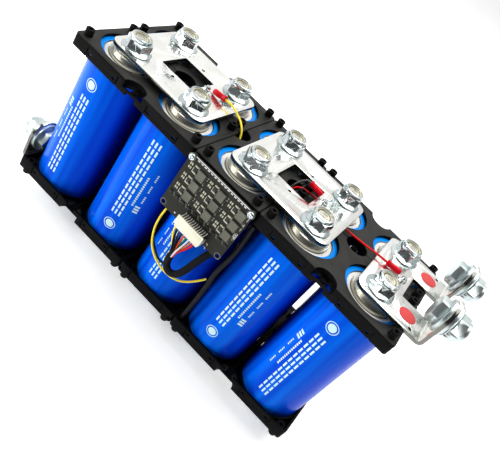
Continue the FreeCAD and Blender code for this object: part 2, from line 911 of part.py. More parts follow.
def lug_set(turn, lift_angle, place):
    """Ring, sleeve and screw of one lug lying on a plate; the barrel points along +X, then turned."""
    half = lug_neck_width / 2
    ring = cylinder(lug_ring_diameter / 2, lug_ring_thickness, vec(0, 0, 0))
    neck = Part.makeBox(lug_ring_to_sleeve + lug_ring_thickness, lug_neck_width, lug_ring_thickness,
                        vec(0, -half, 0))
    ring = ring.fuse(neck).cut(cylinder(lug_ring_bore / 2, lug_ring_thickness, vec(0, 0, 0)))
    barrel = turned([
        (0, 0),
        (lug_sleeve_diameter / 2, 0),
        (lug_sleeve_diameter / 2, lug_sleeve_straight),
        (lug_sleeve_flare / 2, lug_sleeve_length),
        (0, lug_sleeve_length),
    ])
    barrel = barrel.rotated(vec(0, 0, 0), Y_AXIS, 90 - lift_angle)
    barrel = barrel.translated(vec(lug_ring_to_sleeve, 0, lug_sleeve_flare / 2)).cut(ring)
    shank = lug_screw_diameter / 2 - thread_clearance
    head = lug_screw_head_diameter / 2
    screw = turned([
        (0, -lug_screw_length),
        (shank, -lug_screw_length),
        (shank, lug_ring_thickness),
        (head, lug_ring_thickness),
        (lug_screw_head_flat / 2, lug_ring_thickness + lug_screw_head_height),
        (0, lug_ring_thickness + lug_screw_head_height),
    ])
    placed = []
    for shape in (ring.removeSplitter().Solids[0], barrel.Solids[0], screw):
        placed.append(shape.rotated(vec(0, 0, 0), Z_AXIS, turn).translated(place))
    return placed


def lug_places():
    """(turn, lift, place of the ring's middle on the plate) of the three top lugs."""
    base = vec(0, center_y, top_link_face)
    one = base + vec(pair_middle(0) + link_one_lug[0], link_one_lug[1], 0)
    two = base + vec(pair_middle(2) + link_two_lug[0], link_two_lug[1], 0)
    last = base + vec(cell_x(cells_per_row - 1) + terminal_lug[0], terminal_lug[1], 0)
    return [
        (link_one_lug_turn, link_one_lug_lift, one),
        (link_two_lug_turn, link_two_lug_lift, two),
        (terminal_lug_turn, terminal_lug_lift, last),
    ]


def lead_start(number, run):
    """The first two points of a lug's lead: the middle of the barrel's end, and on along its axis."""
    turn, lift_angle, place = lug_places()[number]
    lifted = FreeCAD.Rotation(Y_AXIS, -lift_angle).multVec(X_AXIS)
    axis = FreeCAD.Rotation(Z_AXIS, turn).multVec(lifted)
    base = FreeCAD.Rotation(Z_AXIS, turn).multVec(vec(lug_ring_to_sleeve, 0, 0))
    end = place + base + vec(0, 0, lug_sleeve_flare / 2) + axis * lug_sleeve_length
    return [tuple(end), tuple(end + axis * run)]


def make_lugs():
    sets = [lug_set(turn, lift_angle, place) for turn, lift_angle, place in lug_places()]
    write("ring_lugs", [pieces[0] for pieces in sets])
    write("lug_sleeves", [pieces[1] for pieces in sets])
    write("lug_screws", [pieces[2] for pieces in sets])


# Cords: straight runs joined by tangent arcs

def cord_wire(name, points, diameter):
    """The path through the points, each corner rounded as far as its two runs allow."""
    places = [vec(*point) for point in points]
    edges = []
    radii = []
    start = places[0]
    for before, corner, after in zip(places, places[1:], places[2:]):
        back = before - corner
        ahead = after - corner
        turn = math.pi - back.getAngle(ahead)
        cut = 0.45 * min(back.Length, ahead.Length)
        radii.append(cut / math.tan(turn / 2))
        back = back.normalize()
        ahead = ahead.normalize()
        first = corner + back * cut
        last = corner + ahead * cut
        toward_middle = (back + ahead).normalize()
        middle_distance = radii[-1] / math.cos(turn / 2) - radii[-1]
        middle = corner + toward_middle * middle_distance
        edges.append(Part.LineSegment(start, first).toShape())
        edges.append(Part.Arc(first, middle, last).toShape())
        start = last
    edges.append(Part.LineSegment(start, places[-1]).toShape())
    wire = Part.Wire(edges)
    print("%s: length %.1f, smallest radius %.1f of diameter %.1f" %
          (name, wire.Length, min(radii), diameter))
    return wire


def cord(name, points, diameter):
    wire = cord_wire(name, points, diameter)
    start = vec(*points[0])
    direction = vec(*points[1]) - start
    section = Part.Wire(Part.makeCircle(diameter / 2, start, direction))
    tube = wire.makePipeShell([section], True, False)
    expected = math.pi * diameter ** 2 / 4 * wire.Length
    print("    volume over section times length %.4f" % (tube.Volume / expected))
    return tube.Solids[0] if tube.Solids else tube


def plug_wire_bundle():
    """Places of the nine wires in the jacket's end, from left to right, in its own plane."""
    places = []
    for column in (-1, -math.sqrt(0.5), 0, math.sqrt(0.5), 1):
        depth = math.sqrt(1 - column ** 2)
        rows = (-depth, depth) if depth > 0.1 else (0,)
        if column == 0:
            rows = (-depth, 0, depth)
        places.extend((plug_wire_ring * column, plug_wire_ring * row) for row in rows)
    return places


def plug_wire_route(index):
    """From a pin of the plug straight down, then in to the bundle and into the jacket's end."""
    x, y, z = harness_route[0]
    across, deep = plug_wire_bundle()[index]
    wire_y = board_front - header_depth / 2
    top = vec(pin_x(index), wire_y, plug_bottom())
    below = top - vec(0, 0, plug_wire_drop)
    end = vec(x + across, y + deep, z)
    above = end + vec(0, 0, plug_wire_drop)
    middle = (below + above) / 2 - vec(0, plug_wire_bow, 0)
    return [tuple(point) for point in (top, below, middle, above, end)]


def make_cords():
    cords = [
        ("harness_jacket", harness_diameter, harness_route),
        ("valley_cable", valley_cable_diameter, valley_route),
        ("thin_black_lead", lead_diameter, thin_black_route),
        ("yellow_sense_lead", lead_diameter, yellow_sense_route),
        ("grey_sense_lead", lead_diameter, grey_sense_route),
        ("red_sense_lead", lead_diameter, red_sense_route),
    ]
    for name, diameter, route in cords:
        write(name, [cord(name, route, diameter)])
    wires = []
    for index in range(len(plug_wire_bundle())):
        name = "plug wire %d" % (index + 1)
        wires.append(cord(name, plug_wire_route(index), plug_wire_diameter))
    write("plug_wires", wires)


harness_route = [
    (2.6, -72.0, 85.0), (2.6, -72.0, 79.8), (4.8, -72.3, 74.0), (10.0, -72.2, 71.0),
    (15.5, -71.0, 74.0), (18.2, -68.8, 81.0), (20.0, -65.2, 90.5), (23.0, -60.5, 102.5),
    (27.0, -56.2, 114.0), (29.0, -54.2, 124.0),
]
valley_route = [
    (35.5, -53.5, 147.0), (37.0, -54.0, 131.0), (38.0, -54.5, 112.0), (34.5, -55.5, 91.0),
    (34.8, -55.5, 70.0), (36.2, -55.0, 50.0), (37.7, -54.3, 38.0),
    (37.7, -54.3, 2 * mid_height - top_face + pocket_depth),
]
thin_black_route = [
    (-33.0, -44.0, 88.0), (-30.5, -50.0, 79.0), (-25.0, -54.5, 71.5), (-17.0, -58.5, 66.8),
    (-9.0, -62.0, 67.3), (-4.0, -65.0, 72.0), (-0.9, -69.6, 78.5),
]
yellow_sense_route = lead_start(0, 5.0) + [
    (-49.8, 9.8, 172.4), (-44.0, 9.2, 170.5),
    (-38.2, 7.4, 169.0), (-32.6, 4.4, 166.0), (-28.6, 1.4, 160.5), (-27.5, -0.4, 153.0),
    (-28.8, -3.0, 144.0), (-31.6, -8.0, 136.0), (-33.0, -16.0, 130.0), (-33.0, -27.0, 126.0),
    (-32.8, -38.0, 123.5), (-31.0, -48.0, 121.5), (-27.0, -55.0, 117.0), (-23.5, -58.5, 110.0),
    (-22.0, -61.0, 99.5), (-19.0, -65.0, 88.0), (-11.5, -68.0, 77.5), (0.5, -67.5, 69.5),
    (13.5, -65.0, 69.0), (24.0, -60.0, 76.0), (30.0, -54.5, 84.0),
]
grey_sense_route = lead_start(1, 3.0) + [
    (32.6, 8.4, 170.6), (30.0, 5.6, 166.5), (28.6, 3.4, 161.5),
    (28.2, 1.5, 156.0), (29.4, -2.5, 151.0), (31.8, -9.0, 147.5), (33.0, -18.0, 145.5),
    (33.0, -29.0, 145.0), (32.8, -40.0, 143.5), (31.0, -48.0, 139.0), (28.9, -52.8, 132.0),
]
red_sense_route = lead_start(2, 6.0) + [
    (112.4, 5.0, 170.6), (105.5, 8.0, 167.6), (96.0, 9.3, 165.8), (86.0, 9.8, 164.4),
    (74.0, 11.6, 164.1), (62.0, 13.4, 164.2), (52.0, 13.6, 164.2), (46.5, 11.2, 164.7),
    (41.5, 6.8, 166.4), (36.0, 3.8, 166.8), (32.2, 0.8, 165.3), (30.0, -0.8, 160.5),
    (29.4, -1.6, 153.5), (29.8, -4.5, 146.0), (31.8, -10.0, 139.0), (33.0, -18.0, 135.0),
    (33.0, -29.0, 133.0), (33.0, -40.0, 132.0), (31.9, -48.5, 130.5),
]


os.makedirs("parts", exist_ok=True)
make_cells()
make_holders()
make_fasteners()
make_plates()
make_board()
make_header()
make_lugs()
make_cords()
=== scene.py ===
import math

import bpy
from mathutils import Matrix, Vector


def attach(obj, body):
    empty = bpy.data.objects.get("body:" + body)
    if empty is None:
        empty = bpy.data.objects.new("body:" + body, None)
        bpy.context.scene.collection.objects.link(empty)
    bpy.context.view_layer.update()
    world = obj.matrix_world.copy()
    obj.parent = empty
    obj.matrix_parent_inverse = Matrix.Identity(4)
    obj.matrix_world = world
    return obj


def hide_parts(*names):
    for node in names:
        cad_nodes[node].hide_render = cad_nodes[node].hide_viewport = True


# Supercapacitor pack: ten sleeved cells, moulded holders, link plates and a balance board.
# Lengths are in metres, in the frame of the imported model.

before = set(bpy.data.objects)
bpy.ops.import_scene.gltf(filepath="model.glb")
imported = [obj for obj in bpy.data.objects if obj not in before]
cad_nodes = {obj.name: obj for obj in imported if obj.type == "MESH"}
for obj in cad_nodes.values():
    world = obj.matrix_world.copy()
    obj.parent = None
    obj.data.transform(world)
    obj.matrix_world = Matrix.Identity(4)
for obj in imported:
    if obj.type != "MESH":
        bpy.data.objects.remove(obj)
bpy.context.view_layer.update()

CELL_PITCH = 0.066
CELL_X = [(index - 2) * CELL_PITCH for index in range(5)]
ROW_Y = {"front": -0.027, "back": 0.039}
MIDDLE_Y = 0.006
MIDDLE_Z = 0.0906
CAN_RADIUS = 0.0300
CAN_LOW = 0.02185
CAN_HIGH = 0.15935
FILM_RADIUS = 0.0303
HOLDER_FACE = 0.16265
PLATE_TOP = 0.1685
BOARD_FACE = -0.0639
MERGED = 0.000002
NEARLY_FLAT = math.radians(0.5)


# Camera

def make_camera():
    """The photograph's view: the pack seen from its front, above, with the camera rolled."""
    view = bpy.data.cameras.new("pack_camera")
    view.lens = 41.9
    view.sensor_width = 36.0
    view.clip_start = 0.01
    view.clip_end = 20.0
    camera = bpy.data.objects.new("pack_camera", view)
    bpy.context.scene.collection.objects.link(camera)
    camera.location = (0.09374, -0.40516, 0.38379)
    camera.rotation_euler = [math.radians(a) for a in (48.4667, -31.9628, 34.5436)]
    bpy.context.scene.camera = camera


# Finishes

def new_finish(name):
    """A material and its node tree, with the piece's own coordinates to hand."""
    finish = bpy.data.materials.new(name)
    finish.use_nodes = True
    finish.node_tree.nodes.new("ShaderNodeTexCoord")
    return finish, finish.node_tree


def own_place(tree):
    return tree.nodes["Texture Coordinate"].outputs["Object"]


def feed(tree, sockets, values):
    """Gives each socket its number or colour, or links another node's socket to it."""
    for name, value in values.items():
        socket = sockets[name]
        if isinstance(value, bpy.types.NodeSocket):
            tree.links.new(value, socket)
        else:
            socket.default_value = (*value, 1.0) if socket.type == "RGBA" else value


def add_node(tree, kind, values, output=0, **settings):
    """Adds one node with its settings and its inputs, and gives back one of its outputs."""
    node = tree.nodes.new("ShaderNode" + kind)
    for name, value in settings.items():
        setattr(node, name, value)
    feed(tree, node.inputs, values)
    return node.outputs[output]


def worked_out(tree, operation, *values):
    """A sum of numbers and sockets."""
    return add_node(tree, "Math", dict(enumerate(values)), operation=operation)


def set_shader(tree, values):
    """Feeds the shader: what is the same all over goes straight onto its socket."""
    feed(tree, tree.nodes["Principled BSDF"].inputs, values)


def relief(tree, height, depth):
    """The surface's relief, as deep in metres as is said."""
    return add_node(tree, "Bump", {"Height": height, "Distance": depth}, "Normal")


def coordinate(tree, place, axis):
    return add_node(tree, "SeparateXYZ", {"Vector": place}, axis)


def grain(tree, scale, detail, stretch=None):
    """Fine noise in the piece's own coordinates, drawn out along an axis where asked."""
    place = own_place(tree)
    if stretch:
        place = add_node(tree, "Mapping", {"Vector": place, "Scale": stretch})
    return add_node(tree, "TexNoise", {"Vector": place, "Scale": scale, "Detail": detail}, "Fac")


def ranged(tree, value, start, end, low=0.0, high=1.0, pace="LINEAR"):
    """Carries the span from start to end onto the one from low to high, and stops at its ends."""
    return add_node(tree, "MapRange", {"Value": value, "From Min": start, "From Max": end,
                                       "To Min": low, "To Max": high}, interpolation_type=pace)


def spread(tree, value, low=0.0, high=1.0):
    """Carries a noise, which seldom leaves 0.3 to 0.7, onto a span of its own."""
    return ranged(tree, value, 0.3, 0.7, low, high)


def blend_colours(tree, share, first, second):
    """A colour between two, each of them a colour or another node's socket."""
    return add_node(tree, "Mix", {"Factor": share, "A": first, "B": second}, "Result",
                    data_type="RGBA")


def moulded(name, first, second, rough, scale=900.0, depth=0.00004, metal=0.0, coat=0.0, gloss=0.5):
    """A finish of two near colours in fine grain, with uneven gloss and a shallow grain."""
    finish, tree = new_finish(name)
    fine = grain(tree, scale, 6.0)
    broad = grain(tree, scale / 22.0, 3.0)
    set_shader(tree, {
        "Base Color": blend_colours(tree, spread(tree, broad), first, second),
        "Roughness": spread(tree, fine, *rough), "Normal": relief(tree, fine, depth),
        "Metallic": metal, "Coat Weight": coat, "Specular IOR Level": gloss})
    return finish


def from_axis(tree, across):
    """How far a point lies to the right of its own cell's axis, from its place across the pack."""
    return worked_out(tree, "WRAP", across, CELL_PITCH / 2, -CELL_PITCH / 2)


def eased_blend(tree, value, start, end, first, second):
    """Goes softly from one colour to a second as the value goes from start to end."""
    share = ranged(tree, value, start, end, pace="SMOOTHSTEP")
    return blend_colours(tree, share, first, second)


def painted_film_shade(tree, across, colour):
    """Painted shade on the film: darker towards each can's right, where less light falls, and darkest
    in the gap to the next cell, where shade falls.
    """
    # painted shade towards each can's right side
    right_side_shaded_colour = eased_blend(tree, from_axis(tree, across), 0.006, 0.032, colour, (0.0, 0.060, 0.70))
    # painted shade in the gap between neighbouring cells
    within = add_node(tree, "Clamp", {"Value": across, "Min": CELL_X[0], "Max": CELL_X[-1]})
    away = worked_out(tree, "ABSOLUTE", from_axis(tree, within))
    return eased_blend(tree, away, 0.0225, 0.0300, right_side_shaded_colour, (0.0, 0.006, 0.26))


def sleeve_film(name):
    """Glossy blue shrink film: drawn out in soft bands and fine lines, with painted shade towards each
    can's right and in the gaps between cells, and paler over the rims as a painted highlight.
    """
    finish, tree = new_finish(name)
    bands = grain(tree, 150.0, 1.0, (1.0, 1.0, 0.04))
    drawn = grain(tree, 160.0, 2.0, (1.0, 1.0, 0.05))
    blue = blend_colours(tree, spread(tree, bands), (0.0, 0.088, 0.70), (0.0, 0.205, 0.92))
    # painted shade: darker towards each can's right and in the gaps between cells
    blue = painted_film_shade(tree, coordinate(tree, own_place(tree), "X"), blue)
    # paler film over the rims: a painted highlight where the rims catch the light
    between_rims = worked_out(tree, "COMPARE", coordinate(tree, own_place(tree), "Z"), MIDDLE_Z,
                              (CAN_HIGH - CAN_LOW) / 2 - 0.0002)
    set_shader(tree, {
        "Base Color": blend_colours(tree, between_rims, (0.0, 0.34, 1.0), blue),
        "Roughness": spread(tree, drawn, 0.20, 0.28), "Normal": relief(tree, drawn, 0.00004),
        "Specular Tint": (0.02, 0.50, 1.0), "Specular IOR Level": 0.5, "IOR": 1.3})
    return finish


def moulding_with_painted_shade(name, first, second, painted_skirt_shade, rough):
    """Black moulding: greyer on its broad outer face, and painted near black on its skirt, posts and
    openings as shade.
    """
    finish = moulded(name, first, second, rough, scale=1500.0, depth=0.00006)
    tree = finish.node_tree
    grained_face_colour = tree.nodes["Principled BSDF"].inputs["Base Color"].links[0].from_socket
    # painted shade: every face but the broad outer one takes the near-black colour
    above = worked_out(tree, "SUBTRACT", coordinate(tree, own_place(tree), "Z"), MIDDLE_Z)
    away = worked_out(tree, "ABSOLUTE", above)
    on_face = worked_out(tree, "COMPARE", away, HOLDER_FACE - MIDDLE_Z, 0.0004)
    set_shader(tree, {
        "Base Color": blend_colours(tree, on_face, painted_skirt_shade, grained_face_colour),
        "Specular IOR Level": ranged(tree, on_face, 0.0, 1.0, 0.12, 0.30)})
    return finish


def turned_metal(name, first, second, rough):
    """Metal turned about each cell's own axis: the tool marks are rings round the nearest cell."""
    finish, tree = new_finish(name)
    centred = add_node(tree, "Mapping", {
        "Vector": own_place(tree), "Location": (CELL_PITCH * 10, CELL_PITCH * 10.5 - MIDDLE_Y, 0.0)})
    across, inwards = [from_axis(tree, coordinate(tree, centred, axis)) for axis in "XY"]
    outwards = worked_out(tree, "MULTIPLY", inwards, -1.0)
    along = add_node(tree, "CombineXYZ", {"X": outwards, "Y": across})
    radius = add_node(tree, "VectorMath", {0: along}, "Value", operation="LENGTH")
    rings = add_node(tree, "TexNoise", {"W": radius, "Scale": 1600.0, "Detail": 2.0}, "Fac",
                     noise_dimensions="1D")
    set_shader(tree, {
        "Base Color": blend_colours(tree, spread(tree, rings), first, second),
        "Roughness": spread(tree, rings, *rough), "Normal": relief(tree, rings, 0.00012),
        "Tangent": along, "Anisotropic": 0.75, "Metallic": 1.0})
    return finish


def plated(name, first, second, rough, wave, painted_edge_shade=None):
    """Bright plating over sheet metal: slightly wavy, with faint clouds and hair scratches, and, if
    asked, darker on its marked narrow sides as painted shade."""
    finish, tree = new_finish(name)
    scratch = grain(tree, 800.0, 2.0, (1.0, 0.03, 1.0))
    colour = blend_colours(tree, spread(tree, grain(tree, 55.0, 3.0)), first, second)
    if painted_edge_shade:
        # painted shade on the marked narrow sides
        edge = add_node(tree, "Attribute", {}, "Fac", attribute_name="painted_edge_shade")
        colour = blend_colours(tree, edge, colour, painted_edge_shade)
    set_shader(tree, {
        "Base Color": colour, "Roughness": spread(tree, scratch, *rough),
        "Normal": relief(tree, grain(tree, 26.0, 2.0), wave), "Metallic": 1.0})
    return finish


def woven_jacket(name, first, second):
    """The dark braid of the harness: two crossing sets of fine waves."""
    finish, tree = new_finish(name)
    heights = []
    for slant in (0.8, -0.8):
        turned = add_node(tree, "Mapping", {
            "Vector": own_place(tree), "Rotation": (0.0, slant, slant)})
        waves = {"Vector": turned, "Scale": 900.0, "Distortion": 1.5}
        heights.append(add_node(tree, "TexWave", waves, "Fac"))
    higher = worked_out(tree, "MAXIMUM", *heights)
    set_shader(tree, {
        "Base Color": blend_colours(tree, higher, first, second),
        "Roughness": spread(tree, higher, 0.35, 0.6), "Normal": relief(tree, higher, 0.0002),
        "Specular IOR Level": 0.25})
    return finish


def insulation(name, first, second, coat=0.25, gloss=0.5, painted_glow=0.0):
    """Smooth cable insulation; where asked, a faint glow is painted on to brighten it where it lies in
    shade.
    """
    finish = moulded(name, first, second, (0.28, 0.42), scale=700.0, depth=0.00002, coat=coat,
                     gloss=gloss)
    # painted light: a faint glow in the lighter colour
    set_shader(finish.node_tree, {"Emission Color": second, "Emission Strength": painted_glow})
    return finish


FINISHES = {
    "aluminium": turned_metal("turned_aluminium", (0.46, 0.43, 0.33), (0.88, 0.87, 0.82), (0.20, 0.36)),
    "film": sleeve_film("blue_shrink_film"),
    "ring": moulded("pale_insulating_ring", (0.86, 0.85, 0.82), (0.93, 0.92, 0.90), (0.45, 0.6)),
    # the third colour is painted shade on the holders' skirts, posts and openings
    "holder": moulding_with_painted_shade("black_moulding", (0.018, 0.018, 0.0155), (0.030, 0.029, 0.025),
                               (0.004, 0.004, 0.004), (0.42, 0.58)),
    # the third colour is painted shade on the plates' narrow sides
    "nickel": plated("bright_nickel", (0.88, 0.88, 0.83), (0.96, 0.96, 0.94), (0.16, 0.28),
                     wave=0.00025, painted_edge_shade=(0.22, 0.22, 0.20)),
    "zinc": plated("bright_zinc", (0.52, 0.60, 0.61), (0.80, 0.84, 0.84), (0.16, 0.26), wave=0.0003),
    "satin_zinc": plated("satin_zinc", (0.50, 0.57, 0.57), (0.68, 0.73, 0.72), (0.34, 0.46),
                         wave=0.0003),
    "nylon": moulded("cream_nylon", (0.62, 0.60, 0.45), (0.74, 0.71, 0.55), (0.35, 0.5)),
    "red_dot": moulded("red_print", (0.70, 0.060, 0.060), (0.78, 0.075, 0.075), (0.35, 0.5)),
    "mask": moulded("black_solder_mask", (0.020, 0.021, 0.014), (0.030, 0.031, 0.022), (0.35, 0.50),
                    scale=1400.0, depth=0.00002, gloss=0.3),
    "ink": moulded("white_sleeve_print", (0.62, 0.84, 0.84), (0.70, 0.92, 0.90), (0.35, 0.5)),
    "chip": moulded("grey_package", (0.135, 0.137, 0.105), (0.185, 0.185, 0.145), (0.4, 0.6),
                    scale=2200.0),
    "resistor": moulded("black_resistor_body", (0.012, 0.012, 0.012), (0.02, 0.02, 0.02), (0.25, 0.4)),
    "solder": plated("tinned", (0.80, 0.80, 0.78), (0.92, 0.92, 0.90), (0.22, 0.36), wave=0.0001),
    "tin": moulded("matt_tin", (0.66, 0.66, 0.63), (0.80, 0.80, 0.77), (0.35, 0.5), scale=2200.0,
                   metal=0.2),
    # white print on the board, also used for the painted highlight along its top edge
    "silk": moulded("white_board_print", (0.72, 0.72, 0.70), (0.82, 0.82, 0.80), (0.5, 0.7)),
    "cream": moulded("cream_housing", (0.86, 0.83, 0.66), (0.92, 0.90, 0.75), (0.38, 0.52)),
    "pale_part": moulded("pale_ceramic_part", (0.50, 0.49, 0.37), (0.66, 0.65, 0.52), (0.4, 0.6),
                         scale=2200.0),
    "pad": moulded("dull_solder_pad", (0.13, 0.13, 0.105), (0.21, 0.21, 0.175), (0.35, 0.5),
                   scale=2200.0),
    "spacer": moulded("black_spacer", (0.02, 0.02, 0.02), (0.03, 0.03, 0.03), (0.4, 0.6)),
    "red_sleeve": insulation("red_lug_vinyl", (0.62, 0.0, 0.012), (0.76, 0.002, 0.020), 0.0, 0.3),
    "black_cable": insulation("black_cable_jacket", (0.006, 0.006, 0.006), (0.011, 0.011, 0.011),
                              0.0, 0.25),
    "braid": woven_jacket("black_harness_braid", (0.002, 0.002, 0.002), (0.014, 0.014, 0.014)),
    # the yellow lead glows faintly: painted light on its shaded parts
    "yellow": insulation("yellow_insulation", (0.98, 0.74, 0.03), (1.0, 0.84, 0.06), 0.0, 0.5, 0.16),
    "grey": insulation("grey_insulation", (0.10, 0.10, 0.10), (0.16, 0.16, 0.16)),
    "red": insulation("red_insulation", (0.76, 0.004, 0.006), (0.88, 0.008, 0.010), 0.0, 0.3),
    "orange": insulation("orange_insulation", (0.92, 0.11, 0.005), (0.97, 0.15, 0.01), 0.0, 0.3),
    "green": insulation("green_insulation", (0.0, 0.17, 0.095), (0.005, 0.23, 0.13), 0.0, 0.3),
    "white": insulation("white_insulation", (0.80, 0.80, 0.80), (0.90, 0.90, 0.90)),
    "ochre": insulation("ochre_insulation", (0.60, 0.24, 0.02), (0.70, 0.30, 0.03)),
    "purple": insulation("purple_insulation", (0.03, 0.01, 0.05), (0.05, 0.02, 0.09)),
}


# Shaping by hand

def put_down():
    """Leaves edit mode and picks nothing."""
    if bpy.context.object and bpy.context.object.mode != "OBJECT":
        bpy.ops.object.mode_set(mode="OBJECT")
    bpy.ops.object.select_all(action="DESELECT")


def take_up(piece):
    put_down()
    piece.select_set(True)
    bpy.context.view_layer.objects.active = piece


def new_piece(name):
    """Names the primitive that was just added, and sets its place into its mesh."""
    piece = bpy.context.object
    piece.name = name
    piece.data.name = name
    bpy.ops.object.transform_apply(location=True, rotation=True, scale=True)
    return piece


def block(name, low, high):
    put_down()
    middle = [(a + b) / 2 for a, b in zip(low, high)]
    size = [b - a for a, b in zip(low, high)]
    bpy.ops.mesh.primitive_cube_add(size=1.0, location=middle, scale=size)
    return new_piece(name)


def rod(name, radius, low, high, sides):
    """An upright rod about the origin, from low to high."""
    put_down()
    bpy.ops.mesh.primitive_cylinder_add(vertices=sides, radius=radius, depth=high - low,
                                        location=(0, 0, (low + high) / 2))
    return new_piece(name)


def facing_front(name, place, radius, depth, sides):
    """A disc whose axis runs from front to back."""
    put_down()
    bpy.ops.mesh.primitive_cylinder_add(vertices=sides, radius=radius, depth=depth, location=place,
                                        rotation=(math.pi / 2, 0, 0))
    return new_piece(name)


def turned_piece(name, profile, sides=64, hollow=False):
    """A piece turned about Z: a disc or hoop drawn through steps of radius and height."""
    put_down()
    radius, height = profile[0]
    fill = "NOTHING" if hollow else "NGON"
    bpy.ops.mesh.primitive_circle_add(vertices=sides, radius=radius, fill_type=fill,
                                      location=(0, 0, height))
    piece = new_piece(name)
    bpy.ops.object.mode_set(mode="EDIT")
    bpy.ops.mesh.select_all(action="SELECT")
    steps = profile[1:] + ([profile[0]] if hollow else [])
    for next_radius, next_height in steps:
        rise = next_height - height
        bpy.ops.mesh.extrude_region_move(TRANSFORM_OT_translate={"value": (0.0, 0.0, rise)})
        share = next_radius / radius
        bpy.ops.transform.resize(value=(share, share, 1.0),
                                 center_override=(0.0, 0.0, next_height))
        radius, height = next_radius, next_height
    bpy.ops.mesh.select_all(action="SELECT")
    if hollow:
        bpy.ops.mesh.remove_doubles(threshold=MERGED / 2)
    bpy.ops.mesh.normals_make_consistent(inside=False)
    bpy.ops.object.mode_set(mode="OBJECT")
    return piece


def pick_faces(piece, test):
    """Opens a piece for editing, with the faces picked whose normal passes the test."""
    take_up(piece)
    mesh = piece.data
    for group in (mesh.vertices, mesh.edges, mesh.polygons):
        group.foreach_set("select", [False] * len(group))
    bpy.context.tool_settings.mesh_select_mode = (False, False, True)
    for face in mesh.polygons:
        face.select = test(face.normal)
    bpy.ops.object.mode_set(mode="EDIT")


def apply_modifier(piece, kind, **settings):
    take_up(piece)
    modifier = piece.modifiers.new(kind.lower(), kind)
    for key, value in settings.items():
        setattr(modifier, key, value)
    bpy.ops.object.modifier_apply(modifier=modifier.name)


def cut_away(piece, tools, operation="DIFFERENCE"):
    """Takes each tool's shape out of the piece, joins it on, or keeps what both share."""
    for tool in tools:
        apply_modifier(piece, "BOOLEAN", object=tool, operation=operation, solver="EXACT")
        bpy.data.objects.remove(tool)


def soften(piece, width, limit=32.0):
    """Breaks the sharp edges, then shades the curved faces smooth."""
    apply_modifier(piece, "BEVEL", width=width, segments=2, limit_method="ANGLE",
                   angle_limit=math.radians(limit), use_clamp_overlap=True)
    smooth(piece, limit)


def smooth(piece, limit=32.0):
    take_up(piece)
    bpy.ops.object.shade_smooth_by_angle(angle=math.radians(limit))


def copy_of(piece, name, matrix):
    """A copy with its own mesh, set in its place."""
    twin = piece.copy()
    twin.data = piece.data.copy()
    twin.name = name
    twin.data.transform(matrix)
    bpy.context.scene.collection.objects.link(twin)
    return twin


def joined(name, pieces):
    put_down()
    for piece in pieces:
        piece.select_set(True)
    bpy.context.view_layer.objects.active = pieces[0]
    if len(pieces) > 1:
        bpy.ops.object.join()
    pieces[0].name = name
    pieces[0].data.name = name
    return pieces[0]


def dress(piece, finish, nodes=()):
    """Gives a piece its finish, hangs it from the root, and hides the model's parts that it stands for.
    """
    piece.data.materials.clear()
    piece.data.materials.append(FINISHES[finish])
    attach(piece, "root")
    if nodes:
        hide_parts(*nodes)
    return piece


def eased(node, name, width, finish):
    """A merged copy of one of the model's own pieces, with its sharp edges broken."""
    mesh = cad_nodes[node].data.copy()
    piece = bpy.data.objects.new(name, mesh)
    bpy.context.scene.collection.objects.link(piece)
    take_up(piece)
    bpy.ops.object.mode_set(mode="EDIT")
    bpy.ops.mesh.select_all(action="SELECT")
    bpy.ops.mesh.remove_doubles(threshold=MERGED)
    bpy.ops.mesh.dissolve_limited(angle_limit=NEARLY_FLAT)
    bpy.ops.object.mode_set(mode="OBJECT")
    soften(piece, width)
    return dress(piece, finish, [node])


def mark_sides_for_painted_shade(piece, bent):
    """Marks the narrow sides of a flat sheet, or of one whose arms are bent up or down, for painted
    shade.
    """
    mesh = piece.data
    mark = mesh.attributes.new("painted_edge_shade", "FLOAT", "FACE")
    sideways, upright = 0.4, 0.6
    sides = [abs(face.normal.y) > sideways if bent else abs(face.normal.z) < upright
             for face in mesh.polygons]
    mark.data.foreach_set("value", [1.0 if side else 0.0 for side in sides])


def shift(x, y, z):
    return Matrix.Translation((x, y, z))


def half_turn(axis):
    """Half a turn about the pack's own middle."""
    return (shift(0, MIDDLE_Y, MIDDLE_Z) @ Matrix.Rotation(math.pi, 4, axis)
            @ shift(0, -MIDDLE_Y, -MIDDLE_Z))


# Cords

def cord_curve(name, route, diameter, finish):
    """A smooth cord along a few chosen points."""
    line = bpy.data.curves.new(name, "CURVE")
    line.dimensions = "3D"
    line.resolution_u = 16
    line.bevel_depth = diameter / 2
    line.bevel_resolution = 5
    line.use_fill_caps = True
    spline = line.splines.new("NURBS")
    spline.points.add(len(route) - 1)
    for point, place in zip(spline.points, route):
        point.co = (*place, 1.0)
    spline.order_u = 3
    spline.use_endpoint_u = True
    cord = bpy.data.objects.new(name, line)
    bpy.context.scene.collection.objects.link(cord)
    line.materials.append(FINISHES[finish])
    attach(cord, "root")
    return cord


HARNESS_ROUTE = [
    (0.0290, -0.0542, 0.1240), (0.0270, -0.0562, 0.1140), (0.0230, -0.0605, 0.1025),
    (0.0200, -0.0652, 0.0905), (0.0182, -0.0688, 0.0810), (0.0155, -0.0710, 0.0740),
    (0.0100, -0.0722, 0.0710), (0.0048, -0.0723, 0.0740), (0.0026, -0.0720, 0.0798),
    (0.0026, -0.0720, 0.0850),
]
VALLEY_ROUTE = [
    (0.0355, -0.0535, 0.1470), (0.0370, -0.0540, 0.1310), (0.0380, -0.0545, 0.1120),
    (0.0358, -0.0555, 0.0930), (0.0372, -0.0555, 0.0760), (0.0378, -0.0550, 0.0560),
    (0.0377, -0.0543, 0.0380), (0.0377, -0.0543, 0.02655),
]
THIN_BLACK_ROUTE = [
    (-0.0330, -0.0440, 0.0880), (-0.0305, -0.0500, 0.0790), (-0.0250, -0.0545, 0.0715),
    (-0.0170, -0.0585, 0.0668), (-0.0090, -0.0625, 0.0650), (-0.0030, -0.0665, 0.0672),
    (0.0030, -0.0710, 0.0725),
]
